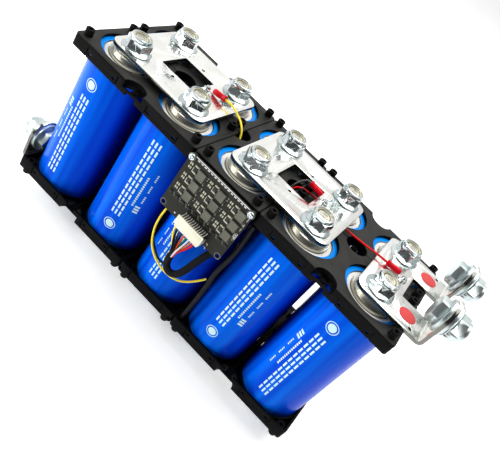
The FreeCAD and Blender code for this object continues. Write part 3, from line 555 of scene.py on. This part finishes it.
YELLOW_ROUTE = [
    (-0.0607, 0.0095, 0.17296), (-0.0557, 0.0095, 0.17357), (-0.0498, 0.0098, 0.1724),
    (-0.0440, 0.0092, 0.1705), (-0.0382, 0.0074, 0.1690), (-0.0326, 0.0044, 0.1660),
    (-0.0286, 0.0014, 0.1605), (-0.0275, -0.0004, 0.1530), (-0.0288, -0.0030, 0.1440),
    (-0.0316, -0.0080, 0.1360), (-0.0330, -0.0160, 0.1300), (-0.0330, -0.0270, 0.1260),
    (-0.0328, -0.0380, 0.1235), (-0.0310, -0.0480, 0.1215), (-0.0275, -0.0550, 0.1170),
    (-0.0256, -0.0590, 0.1090), (-0.0258, -0.0620, 0.0975), (-0.0232, -0.0655, 0.0850),
    (-0.0150, -0.0690, 0.0730), (-0.0010, -0.0690, 0.0650), (0.0145, -0.0665, 0.0635),
    (0.0260, -0.0610, 0.0690), (0.0335, -0.0560, 0.0800),
]
GREY_ROUTE = [
    (0.03823, 0.01072, 0.17207), (0.03525, 0.01103, 0.17223), (0.0326, 0.0084, 0.1706),
    (0.0300, 0.0056, 0.1665), (0.0286, 0.0034, 0.1615), (0.0282, 0.0015, 0.1560),
    (0.0294, -0.0025, 0.1510), (0.0318, -0.0090, 0.1475), (0.0330, -0.0180, 0.1455),
    (0.0330, -0.0290, 0.1450), (0.0328, -0.0400, 0.1435), (0.0310, -0.0480, 0.1390),
    (0.0289, -0.0528, 0.1320),
]
RED_ROUTE = [
    (0.12437, 0.00486, 0.17174), (0.11853, 0.00351, 0.17189), (0.1124, 0.0050, 0.1706),
    (0.1055, 0.0080, 0.1676), (0.0960, 0.0093, 0.1658), (0.0860, 0.0098, 0.1644),
    (0.0740, 0.0116, 0.1641), (0.0620, 0.0134, 0.1642), (0.0520, 0.0136, 0.1642),
    (0.0465, 0.0112, 0.1647), (0.0415, 0.0068, 0.1664), (0.0360, 0.0038, 0.1668),
    (0.0322, 0.0008, 0.1653), (0.0300, -0.0008, 0.1605), (0.0294, -0.0016, 0.1535),
    (0.0298, -0.0045, 0.1460), (0.0318, -0.0100, 0.1390), (0.0330, -0.0180, 0.1340),
    (0.0335, -0.0290, 0.1300), (0.0345, -0.0400, 0.1270), (0.0366, -0.0520, 0.1270),
]
HARNESS_DIAMETER = 0.006
CABLE_DIAMETER = 0.0045
LEAD_DIAMETER = 0.0018
PLUG_WIRE_DIAMETER = 0.0016

# The plug's wires from left to right: their colours, and their places in the harness in steps of
# the bundle's ring.
PLUG_WIRE_COLOURS = ["yellow", "black_cable", "purple", "black_cable", "orange", "green", "white",
                     "ochre", "red"]
BUNDLE_PLACES = [(-1, 0), (-0.7071, -0.7071), (-0.7071, 0.7071), (0, -1), (0, 0), (0, 1),
                 (0.7071, -0.7071), (0.7071, 0.7071), (1, 0)]
BUNDLE_RING = 0.002
PLUG_LEFT = -0.01020
PLUG_WIRE_PITCH = 0.00248
STRAIGHT_END = Vector((0.0, 0.0, 0.005))


def plug_wire_route(index):
    """Down from the plug, forwards a little, and in to the wire's place in the harness."""
    across, inwards = BUNDLE_PLACES[index]
    top = Vector((PLUG_LEFT + (index + 0.5) * PLUG_WIRE_PITCH, -0.0679, 0.10715))
    below = top - STRAIGHT_END
    end = Vector(HARNESS_ROUTE[-1]) + BUNDLE_RING * Vector((across, inwards, 0.0))
    above = end + STRAIGHT_END
    middle = (below + above) / 2 - Vector((0.0, 0.0008, 0.0))
    return [tuple(point) for point in (top, below, middle, above, end)]


# Sleeves of the ring lugs: each lead's lug, where its ring lies, its turn and its lift in degrees

LUGS = [("yellow", (-0.0790, 0.0095), 0.0, 7.0), ("grey", (0.0565, 0.0088), 174.0, 3.0),
        ("red", (0.1423, 0.0090), 193.0, 1.5)]
LUG_NECK = 0.0056
LUG_RISE = 0.0029


def make_lug_sleeves():
    """Soft red sleeves, drawn in over the lug's neck, waisted, and flared open round the lead."""
    pattern = turned_piece("lug_sleeve", [
        (0.0015, 0.0), (0.0021, 0.0004), (0.0025, 0.0014), (0.0025, 0.0068), (0.0023, 0.0080),
        (0.0022, 0.0090), (0.0024, 0.0104), (0.0029, 0.0128), (0.0026, 0.0128), (0.0018, 0.0108)], 40)
    smooth(pattern, 50.0)
    sleeves = {}
    for lead, (x, y), turn, lift in LUGS:
        lying = Matrix.Rotation(math.radians(90.0 - lift), 4, "Y")
        turned = Matrix.Rotation(math.radians(turn), 4, "Z")
        place = shift(x, y, PLATE_TOP) @ turned @ shift(LUG_NECK, 0, LUG_RISE) @ lying
        sleeve = copy_of(pattern, lead + "_lug_sleeve", place)
        sleeves[lead] = dress(sleeve, "red_sleeve", ["lug_sleeves"])
    bpy.data.objects.remove(pattern)
    return sleeves


def make_cords():
    """The leads and cables, each drawn along its route, with the plug's wires and the lug sleeves."""
    wires = []
    for index, colour in enumerate(PLUG_WIRE_COLOURS):
        name = "plug_wire_%d" % (index + 1)
        wire = cord_curve(name, plug_wire_route(index), PLUG_WIRE_DIAMETER, colour)
        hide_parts("plug_wires")
        wires.append(wire)
    lugs, sleeves = cad_nodes["ring_lugs"], make_lug_sleeves()
    cords = [
        ("harness_jacket", HARNESS_ROUTE, HARNESS_DIAMETER, "braid", "cable_black", 0.0773,
         "connector", "medium", wires + [cad_nodes["wire_plug"]]),
        ("valley_cable", VALLEY_ROUTE, CABLE_DIAMETER, "black_cable", "cable_black", 0.1207,
         "object", "stiff", []),
        ("thin_black_lead", THIN_BLACK_ROUTE, LEAD_DIAMETER, "black_cable", "cable_black", 0.0568,
         "object", "medium", []),
        ("yellow_sense_lead", YELLOW_ROUTE, LEAD_DIAMETER, "yellow", "lead_yellow", 0.2238,
         "object", "medium", [lugs, sleeves["yellow"]]),
        ("grey_sense_lead", GREY_ROUTE, LEAD_DIAMETER, "grey", "lead_grey", 0.0868,
         "object", "medium", [lugs, sleeves["grey"]]),
        ("red_sense_lead", RED_ROUTE, LEAD_DIAMETER, "red", "lead_red", 0.1722,
         "object", "medium", [lugs, sleeves["red"]]),
    ]
    for node, route, diameter, finish, slot, length, end, stiffness, on_it in cords:
        cord = cord_curve(node + "_run", route, diameter, finish)
        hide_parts(node)


# Sleeves

def make_sleeves():
    """Ten shrink sleeves, each folded over both rims of its can."""
    lip, flat, roll, steps = 0.0230, 0.0278, 0.0024, 14
    straight = CAN_HIGH - CAN_LOW - 2 * roll
    profile = [
        (lip, CAN_HIGH), (lip, CAN_HIGH + 0.0002), (lip + 0.0004, CAN_HIGH + 0.0003),
        (flat, CAN_HIGH + 0.0003), (0.0288, CAN_HIGH + 0.0001), (0.0296, CAN_HIGH - 0.0006),
        (0.0301, CAN_HIGH - 0.0014), (FILM_RADIUS, CAN_HIGH - roll),
    ]
    rolled_rim = list(profile)
    for step in range(1, steps):
        profile.append((FILM_RADIUS, CAN_HIGH - roll - straight * step / steps))
    profile += [(r, CAN_HIGH + CAN_LOW - z) for r, z in reversed(rolled_rim)]
    inner = roll - 0.0002
    profile += [(flat, CAN_LOW), (CAN_RADIUS, CAN_LOW + inner),
                (CAN_RADIUS, CAN_HIGH - inner), (flat, CAN_HIGH)]
    pattern = turned_piece("sleeve_pattern", profile, 96, hollow=True)
    smooth(pattern, 40.0)
    for row, y in ROW_Y.items():
        for index, x in enumerate(CELL_X):
            sleeve = copy_of(pattern, "sleeve_%d_%s" % (index + 1, row), shift(x, y, 0))
            dress(sleeve, "film", ["cell_sleeves"])
    bpy.data.objects.remove(pattern)


# Print on the sleeves

PRINT_TURNS = [-5.0, 8.0, -8.0, -2.0, -8.0]
PRINT_NEAR, PRINT_FAR = -0.034, -0.020
ROUNDEL_HEIGHT = 0.0248

# Rows of bars: how many, where the first starts along the can, their pitch and length, and the
# row's two sides, measured round the can.
PRINT_ROWS = [
    (12, 0.0370, 0.00695, 0.0054, -0.00445, -0.00275),
    (12, 0.0370, 0.00695, 0.0054, -0.00085, 0.00085),
    (12, 0.0370, 0.00695, 0.0054, 0.00275, 0.00445),
    (14, 0.0546, 0.0024, 0.0016, 0.0076, 0.0094),
    (3, 0.0485, 0.0030, 0.0020, 0.0110, 0.0154),
    (4, 0.0610, 0.0021, 0.0014, 0.0136, 0.0150),
    (4, 0.0735, 0.0021, 0.0014, 0.0136, 0.0150),
    (4, 0.0860, 0.0021, 0.0014, 0.0136, 0.0150),
]


def print_bar(start, end, low, high):
    """One printed bar: from start to end along the can, low to high round it."""
    left = FILM_RADIUS * math.sin(low / FILM_RADIUS)
    right = FILM_RADIUS * math.sin(high / FILM_RADIUS)
    return block("print_bar", (left, PRINT_NEAR, start), (right, PRINT_FAR, end))


def print_bars():
    """The generic band: three broken stripes, and smaller lines beside them."""
    return [print_bar(first + index * pitch, first + index * pitch + length, low, high)
            for count, first, pitch, length, low, high in PRINT_ROWS for index in range(count)]


def print_roundel():
    """A ring round a plain disc, pointing forwards."""
    place = (0, (PRINT_NEAR + PRINT_FAR) / 2, ROUNDEL_HEIGHT)
    ring, bore, disc = [facing_front("roundel", place, radius, depth, 48)
                        for radius, depth in ((0.0056, 0.014), (0.0049, 0.016), (0.0037, 0.0138))]
    cut_away(ring, [bore])
    cut_away(ring, [disc], "UNION")
    return ring


def make_print():
    """Every sleeve carries the same band; neighbours read opposite ways, as their poles do."""
    stamp = joined("print_stamp", print_bars() + [print_roundel()])
    inner, outer = FILM_RADIUS + 0.00002, FILM_RADIUS + 0.00007
    start, end = 0.010, 0.130
    skin = turned_piece("print_skin", [(outer, start), (outer, end), (inner, end), (inner, start)], 96,
                        hollow=True)
    cut_away(stamp, [skin], "INTERSECT")
    stamp.data.transform(shift(0, 0, CAN_LOW))
    over = half_turn("Y")
    bands = []
    for row, y in ROW_Y.items():
        for index, x in enumerate(CELL_X):
            turn = math.radians(PRINT_TURNS[index] + (180.0 if row == "back" else 0.0))
            place = shift(x, y, 0) @ Matrix.Rotation(turn, 4, "Z")
            if index % 2 == 0:
                place = place @ over
            bands.append(copy_of(stamp, "band", place))
    bpy.data.objects.remove(stamp)
    dress(joined("sleeve_print", bands), "ink")


# Lock nuts, bolts and washers

ACROSS_FLATS = 0.0190
HEX_CORNER = ACROSS_FLATS / math.sqrt(3)
NUT_BORE = 0.0061
TURN_PER_CELL = 17.0
TURN_PER_METRE = 400.0
THREAD_CREST = 0.0060
THREAD_ROOT = 0.0054
THREAD_PITCH = 0.00175
WASHER_THICKNESS = 0.0025
EAR_THICKNESS = 0.0030
EAR_FACE = 0.1754
EAR_BOLTS = [(1, 0.1896), (-1, 0.0337)]


def lock_nut():
    """One flanged lock nut with its seat at z = 0: hexagon, flange, crimped collar and open bore."""
    nut = rod("lock_nut", HEX_CORNER, 0.0008, 0.0098, 6)
    shape = turned_piece("nut_turning", [
        (HEX_CORNER + 0.0001, 0.0), (HEX_CORNER + 0.0001, 0.0090), (0.0092, 0.0100)])
    cut_away(nut, [shape], "INTERSECT")
    flange = turned_piece("nut_flange", [
        (0.0126, 0.0), (0.0130, 0.0004), (0.0130, 0.0010), (0.0125, 0.0014), (0.0098, 0.0030),
        (0.0060, 0.0030)])
    collar = turned_piece("nut_collar", [
        (0.0080, 0.0080), (0.0088, 0.0096), (0.0088, 0.0118), (0.0086, 0.0124), (0.0080, 0.0127),
        (0.0070, 0.0127)])
    cut_away(nut, [flange, collar], "UNION")
    bore = turned_piece("nut_bore", [
        (NUT_BORE, -0.001), (NUT_BORE, 0.0099), (0.0077, 0.0099), (0.0077, 0.0120), (0.0070, 0.0121),
        (0.0070, 0.0140)])
    cut_away(nut, [bore])
    soften(nut, 0.00022, 34.0)
    return nut


def locking_ring():
    ring = turned_piece("locking_ring", [
        (NUT_BORE, 0.0100), (NUT_BORE, 0.0117), (0.0063, 0.0120), (0.0076, 0.0120), (0.0076, 0.0099),
        (0.0063, 0.0099)], hollow=True)
    smooth(ring)
    return ring


def hex_bolt():
    """Hexagon-head bolt, head below z = 0, with thread rings on its free end."""
    head = rod("hex_bolt", HEX_CORNER, -0.0075, 0.0, 6)
    shape = turned_piece("head_turning", [
        (0.0094, -0.0075), (HEX_CORNER, -0.0068), (HEX_CORNER, -0.0004), (0.0100, 0.0)])
    cut_away(head, [shape], "INTERSECT")
    soften(head, 0.00025, 34.0)
    height = 0.0140
    profile = [(THREAD_CREST, -0.0010), (THREAD_CREST, height)]
    while height < 0.0205:
        profile += [(THREAD_CREST, height + 0.0003), (THREAD_ROOT, height + 0.0009),
                    (THREAD_CREST, height + 0.0015)]
        height += THREAD_PITCH
    profile += [(THREAD_CREST, 0.0215), (0.0050, 0.0221)]
    shank = turned_piece("bolt_shank", profile, 48)
    smooth(shank, 25.0)
    return joined("hex_bolt", [head, shank])


def flat_washer():
    washer = turned_piece("flat_washer", [
        (0.0065, 0.0), (0.0065, WASHER_THICKNESS), (0.0138, WASHER_THICKNESS),
        (0.0140, WASHER_THICKNESS - 0.0002), (0.0140, 0.0002), (0.0138, 0.0)], hollow=True)
    smooth(washer)
    return washer


def make_fasteners():
    """Ten nuts above and ten below, each stopped at its own turn, and the bolts through the ears."""
    nut = lock_nut()
    ring = locking_ring()
    bolt = hex_bolt()
    washer = flat_washer()
    top, bottom, rings, ears, bolts, washers = [], [], [], [], [], []
    for y in ROW_Y.values():
        for index, x in enumerate(CELL_X):
            stop = math.radians(TURN_PER_CELL * index + TURN_PER_METRE * y)
            turn = Matrix.Rotation(stop, 4, "Z")
            seat = shift(x, y, PLATE_TOP) @ turn
            under = half_turn("X") @ shift(x, 2 * MIDDLE_Y - y, PLATE_TOP) @ turn
            top.append(copy_of(nut, "nut", seat))
            bottom.append(copy_of(nut, "nut", under))
            rings.append(copy_of(ring, "ring", seat))
            rings.append(copy_of(ring, "ring", under))
    for end, height in EAR_BOLTS:
        for y in ROW_Y.values():
            across = Matrix.Rotation(math.radians(90.0 * end), 4, "Y")
            under_head, outside, seat = [
                shift(end * (EAR_FACE + along), y, height) @ across
                for along in (-WASHER_THICKNESS, EAR_THICKNESS, EAR_THICKNESS + WASHER_THICKNESS)]
            bolts.append(copy_of(bolt, "bolt", under_head))
            washers.append(copy_of(washer, "washer", under_head))
            washers.append(copy_of(washer, "washer", outside))
            ears.append(copy_of(nut, "nut", seat))
            rings.append(copy_of(ring, "ring", seat))
    dress(joined("top_lock_nuts", top), "zinc", ["stud_nuts_top"])
    dress(joined("bottom_lock_nuts", bottom), "zinc", ["stud_nuts_bottom"])
    dress(joined("ear_lock_nuts", ears), "satin_zinc", ["terminal_nuts"])
    dress(joined("nylon_rings", rings), "nylon", ["nut_locking_rings"])
    dress(joined("ear_bolts", bolts), "satin_zinc", ["terminal_bolts"])
    dress(joined("ear_washers", washers), "satin_zinc", ["terminal_washers"])
    for pattern in (nut, ring, bolt, washer):
        bpy.data.objects.remove(pattern)


# Balance board

CHANNEL_X = [-0.0162 + 0.0208 * column for column in range(3)]
CHANNEL_Z = [0.15185 - 0.0108 * line for line in range(3)]
RESISTOR_X, RESISTOR_Z = -0.0064, 0.0010
SMALL_PARTS_X = -0.0114
DRIVER_X = [-0.0292 + 0.00657 * index for index in range(10)]
DRIVER_Z = 0.1233
BOARD_SCREWS = [(-0.0303, 0.15865), (0.0303, 0.15865)]
LOWER_HOLES = [(-0.0300, 0.11085), (0.0300, 0.11085)]
INK = 0.00006


def on_board(name, x, z, width, height, rise, base=0.0):
    """A block on the board's face: its middle, its width and height, and how far it stands out."""
    return block(name, (x - width / 2, BOARD_FACE - rise, z - height / 2),
                 (x + width / 2, BOARD_FACE - base, z + height / 2))


def round_on_board(name, x, z, radius, rise, base=0.0):
    return facing_front(name, (x, BOARD_FACE - (rise + base) / 2, z), radius, rise - base, 32)


def hoop_on_board(name, x, z, outer, inner, rise):
    hoop = round_on_board(name, x, z, outer, rise)
    cut_away(hoop, [round_on_board("hoop_bore", x, z, inner, rise + 0.001, -0.001)])
    return hoop


def power_chip():
    """One chip about the origin, with a shallow sunk top and softened edges."""
    chip = on_board("chip", 0, 0, 0.0072, 0.0077, 0.0015)
    pick_faces(chip, lambda normal: normal.y < -0.9)
    bpy.ops.mesh.inset(thickness=0.0007)
    bpy.ops.transform.translate(value=(0, 0.00015, 0))
    bpy.ops.object.mode_set(mode="OBJECT")
    soften(chip, 0.00018, 20.0)
    return chip


def at_channels(name, pattern):
    """The same parts at each of the nine chips."""
    copies = [copy_of(pattern, name, shift(x, 0, z)) for x in CHANNEL_X for z in CHANNEL_Z]
    bpy.data.objects.remove(pattern)
    return joined(name, copies)


def make_channels():
    """Nine times the same: a chip with its leads, its bleed resistor and four small parts."""
    dress(at_channels("power_chips", power_chip()), "chip", ["balance_chips"])
    leads = [on_board("lead", 0.0042, (step - 1.5) * 0.0019, 0.0014, 0.0008, 0.0005)
             for step in range(4)]
    leads.append(on_board("lead", 0.0, -0.0042, 0.0052, 0.0008, 0.0004))
    dress(at_channels("chip_leads", joined("lead_set", leads)), "pad")
    body = on_board("resistor", RESISTOR_X, RESISTOR_Z, 0.0032, 0.0046, 0.0011)
    soften(body, 0.0002)
    dress(at_channels("resistor_bodies", body), "resistor", ["bleed_resistors"])
    ends = [on_board("resistor_end", RESISTOR_X, RESISTOR_Z + side * 0.0028, 0.0034, 0.0010, 0.0010)
            for side in (-1, 1)]
    ends += [on_board("resistor_pad", RESISTOR_X - 0.0021, -0.0004, 0.0006, 0.0040, 0.0002),
             on_board("resistor_pad", RESISTOR_X + 0.0021, 0.0026, 0.0006, 0.0036, 0.0002),
             on_board("resistor_pad", RESISTOR_X, -0.0027, 0.0044, 0.0006, 0.0002)]
    smalls = [on_board("small_part", SMALL_PARTS_X + x * 0.00085, RESISTOR_Z + z * 0.0017,
                       0.0012, 0.0022, 0.0006)
              for x in (-1, 1) for z in (-1, 1)]
    for small in smalls:
        soften(small, 0.00015)
    dots = [on_board("dot", x, z, 0.0008, 0.0008, INK)
            for x, z in ((0.0058, 0.0030), (0.0056, 0.0010), (0.0046, -0.0046))]
    dress(at_channels("small_parts", joined("pale_set", ends + smalls + dots)), "pale_part",
          ["board_small_parts"])


def make_drivers():
    """The row of small black drivers over the header, with bent grey legs between them."""
    body = on_board("driver", 0, DRIVER_Z, 0.0026, 0.0025, 0.0010)
    soften(body, 0.0002)
    legs = joined("driver_legs", [on_board("leg", 0.0026, DRIVER_Z + 0.0010, 0.0016, 0.0007, 0.0004),
                                  on_board("leg", 0.0033, DRIVER_Z, 0.0007, 0.0026, 0.0003),
                                  on_board("leg", 0.0040, DRIVER_Z - 0.0010, 0.0016, 0.0007, 0.0004)])
    bodies = [copy_of(body, "driver", shift(x, 0, 0)) for x in DRIVER_X]
    feet = [copy_of(legs, "driver_legs", shift(x, 0, 0)) for x in DRIVER_X[:-1]]
    bpy.data.objects.remove(body)
    bpy.data.objects.remove(legs)
    dress(joined("driver_bodies", bodies), "resistor")
    dress(joined("driver_legs", feet), "pad")


def make_board_print():
    """Plain marks printed on the board, a white line along its top edge as a painted highlight, and a
    pad round each of its holes.
    """
    # painted highlight: a white line just under the board's top edge
    marks = [on_board("mark", 0, 0.16120, 0.0550, 0.0008, INK)]
    for index in range(15):
        marks.append(on_board("mark", -0.0240 + index * 0.0034, 0.15985, 0.0022, 0.0009, INK))
    for height in (0.1531, 0.1476, 0.1428):
        marks.append(on_board("mark", 0.0312, height, 0.0006, 0.0026, INK))
    frame_x, frame_z = 0.0309, 0.1355
    for side in (-1, 1):
        marks.append(on_board("mark", frame_x + side * 0.0011, frame_z, 0.0004, 0.0060, INK))
        marks.append(on_board("mark", frame_x, frame_z + side * 0.0028, 0.0026, 0.0004, INK))
        marks.append(on_board("mark", frame_x, frame_z + side * 0.0011, 0.0011, 0.0013, INK))
        marks.append(on_board("mark", 0.0182, 0.1100 + side * 0.0020, 0.0016, 0.0006, INK))
        marks.append(on_board("mark", 0.0187, 0.1092 + side * 0.0020, 0.0006, 0.0016, INK))
    marks.append(on_board("mark", -0.0171, 0.1108, 0.0014, 0.0011, INK))
    dress(joined("board_print_and_edge_highlight", marks), "silk")
    pads = [hoop_on_board("pad", x, z, 0.0034, 0.0020, 0.0001) for x, z in BOARD_SCREWS]
    pads += [hoop_on_board("pad", x, z, 0.0029, 0.0022, 0.0001) for x, z in LOWER_HOLES]
    dress(joined("board_pads", pads), "pad")


def make_board_screws():
    """Pan heads with a crossed recess, on their shanks."""
    screws = []
    for x, z in BOARD_SCREWS:
        head = turned_piece("board_screw", [
            (0.0028, 0.0), (0.0028, 0.0007), (0.0026, 0.0013), (0.0021, 0.0018), (0.0012, 0.0020)],
            40)
        slots = [block("recess", (-0.0017, -0.0004, 0.0011), (0.0017, 0.0004, 0.0030)),
                 block("recess", (-0.0004, -0.0017, 0.0011), (0.0004, 0.0017, 0.0030))]
        cut_away(head, slots)
        smooth(head, 40.0)
        screw = joined("board_screw", [head, rod("shank", 0.00125, -0.0100, 0.0002, 24)])
        screw.data.transform(shift(x, BOARD_FACE, z) @ Matrix.Rotation(math.pi / 2, 4, "X"))
        screws.append(screw)
    dress(joined("board_screw_heads", screws), "zinc", ["board_screws"])


HEADER_LOW = (-0.0112, -0.0719, 0.10965)
HEADER_HIGH = (0.0156, -0.0639, 0.11865)
TEETH = 12
TOOTH_PITCH = 0.00205


def slim_block(name, x, half_width, near, far, low, high):
    """A narrow block centred on x."""
    return block(name, (x - half_width, near, low), (x + half_width, far, high))


def make_header():
    """The cream header: a tall front wall, and behind it a sunk back crossed by twelve legs, over a
    black block that paints the shade between them.
    """
    left, front, bottom = HEADER_LOW
    right, back, top = HEADER_HIGH
    sunk, wall, behind_wall = top - 0.0045, 0.0010, front + 0.0011
    shell = block("header", HEADER_LOW, HEADER_HIGH)
    step = block("step", (left - 0.001, behind_wall, sunk),
                 (right + 0.001, back + 0.001, top + 0.001))
    mouth = block("mouth", (left + wall, front + wall, bottom - 0.001),
                  (right - wall, back - wall, sunk - 0.0017))
    marks = [slim_block("mark", x, 0.0005, front - 0.001, front + 0.0005, top - 0.0024, top - 0.0012)
             for x in (left + 0.0018, right - 0.0018)]
    cut_away(shell, [step, mouth] + marks)
    soften(shell, 0.00025)
    middle = (left + right) / 2
    places = [middle + (index - (TEETH - 1) / 2) * TOOTH_PITCH for index in range(TEETH)]
    teeth = [slim_block("tooth", x, 0.0005, front + 0.0008, back - 0.0042, top - 0.0014, top - 0.0002)
             for x in places]
    for piece in teeth:
        soften(piece, 0.0002)
    dress(joined("header_housing", [shell] + teeth), "cream", ["board_header"])
    # a black block under the legs: painted shade in the gaps between them
    gap_shade_block = block("header_gap_shade", (left + wall, behind_wall, sunk - 0.0006),
                 (right - wall, back, top - 0.0012))
    dress(gap_shade_block, "resistor")
    pins = []
    for x in places:
        pins.append(slim_block("pin", x, 0.0004, back - 0.0044, back, top - 0.0013, top - 0.0006))
        pins.append(slim_block("pin", x, 0.0004, back - 0.0006, back, top - 0.0008, top + 0.0006))
    dress(joined("header_leads", pins), "tin", ["header_pins"])


# The pieces whose solids already have their shape

KEPT_NODES = [
    ("cell_", "aluminium"), ("insulating_rings", "ring"), ("polarity_dots", "red_dot"),
    ("balance_board", "mask"), ("wire_plug", "cream"), ("lug_screws", "zinc"),
    ("board_spacers", "spacer"), ("ring_lugs", "solder"),
]


def make_plates_and_holders():
    """Sheet and moulded pieces, with the rolled edges of stamping and the soft ones of moulding."""
    for node in sorted(cad_nodes):
        if node.startswith("holder_"):
            eased(node, node + "_moulding", 0.00035, "holder")
        elif "plate" in node:
            sheet = eased(node, node + "_sheet", 0.00045, "nickel")
            # marks the sheet's narrow sides for painted shade
            mark_sides_for_painted_shade(sheet, "terminal" in node)


def finish_kept_nodes():
    for name, node in cad_nodes.items():
        for start, finish in KEPT_NODES:
            if name.startswith(start) and name != "cell_sleeves":
                for material_slot in node.material_slots:
                    material_slot.link = "OBJECT"
                    material_slot.material = FINISHES[finish]


# Floor and light

WHITE = (1.0, 1.0, 1.0)


def make_stage():
    """A pale floor just under the pack."""
    put_down()
    bpy.ops.mesh.primitive_plane_add(size=24.0, location=(0.0, 0.0, -0.0002))
    floor = new_piece("studio_floor")
    finish, tree = new_finish("pale_floor")
    tone = spread(tree, grain(tree, 3.0, 2.0))
    set_shader(tree, {"Base Color": blend_colours(tree, tone, (0.95, 0.95, 0.95), (0.97, 0.97, 0.97)),
                      "Roughness": 0.8, "Emission Color": WHITE, "Emission Strength": 0.44})
    floor.data.materials.append(finish)


def softbox(name, place, target, size, watts):
    lamp = bpy.data.lights.new(name, "AREA")
    lamp.shape = "SQUARE"
    lamp.size = size
    lamp.energy = watts
    light = bpy.data.objects.new(name, lamp)
    bpy.context.scene.collection.objects.link(light)
    light.location = place
    light.rotation_euler = (Vector(target) - Vector(place)).to_track_quat("-Z", "Y").to_euler()


def make_light():
    """A soft studio: bright above and behind, darker towards the viewer and the right."""
    world = bpy.data.worlds.new("studio")
    bpy.context.scene.world = world
    world.use_nodes = True
    tree = world.node_tree
    direction = add_node(tree, "TexCoord", {}, "Generated")
    facing = add_node(tree, "VectorMath", {0: direction, 1: (0.15, -0.75, 0.64)}, "Value",
                      operation="DOT_PRODUCT")
    towards_viewer = ranged(tree, facing, 0.15, 0.75, 1.0, 0.16, "SMOOTHSTEP")
    towards_right = ranged(tree, coordinate(tree, direction, "X"), -0.3, 0.8, 1.0, 0.40)
    feed(tree, tree.nodes["Background"].inputs, {
        "Color": WHITE, "Strength": worked_out(tree, "MULTIPLY", towards_viewer, towards_right)})
    softbox("left_softbox", (-0.85, -0.55, 0.65), (0.0, 0.0, 0.08), size=0.5, watts=7.0)
    softbox("overhead_softbox", (0.3, 0.6, 2.2), (0.0, 0.0, 0.1), size=2.2, watts=46.0)
    scene = bpy.context.scene
    scene.view_settings.view_transform = "Standard"
    scene.view_settings.look = "None"
    scene.view_settings.gamma = 0.85


make_camera()
make_cords()
make_sleeves()
make_print()
make_fasteners()
make_plates_and_holders()
make_channels()
make_drivers()
make_board_print()
make_board_screws()
make_header()
finish_kept_nodes()
make_stage()
make_light()
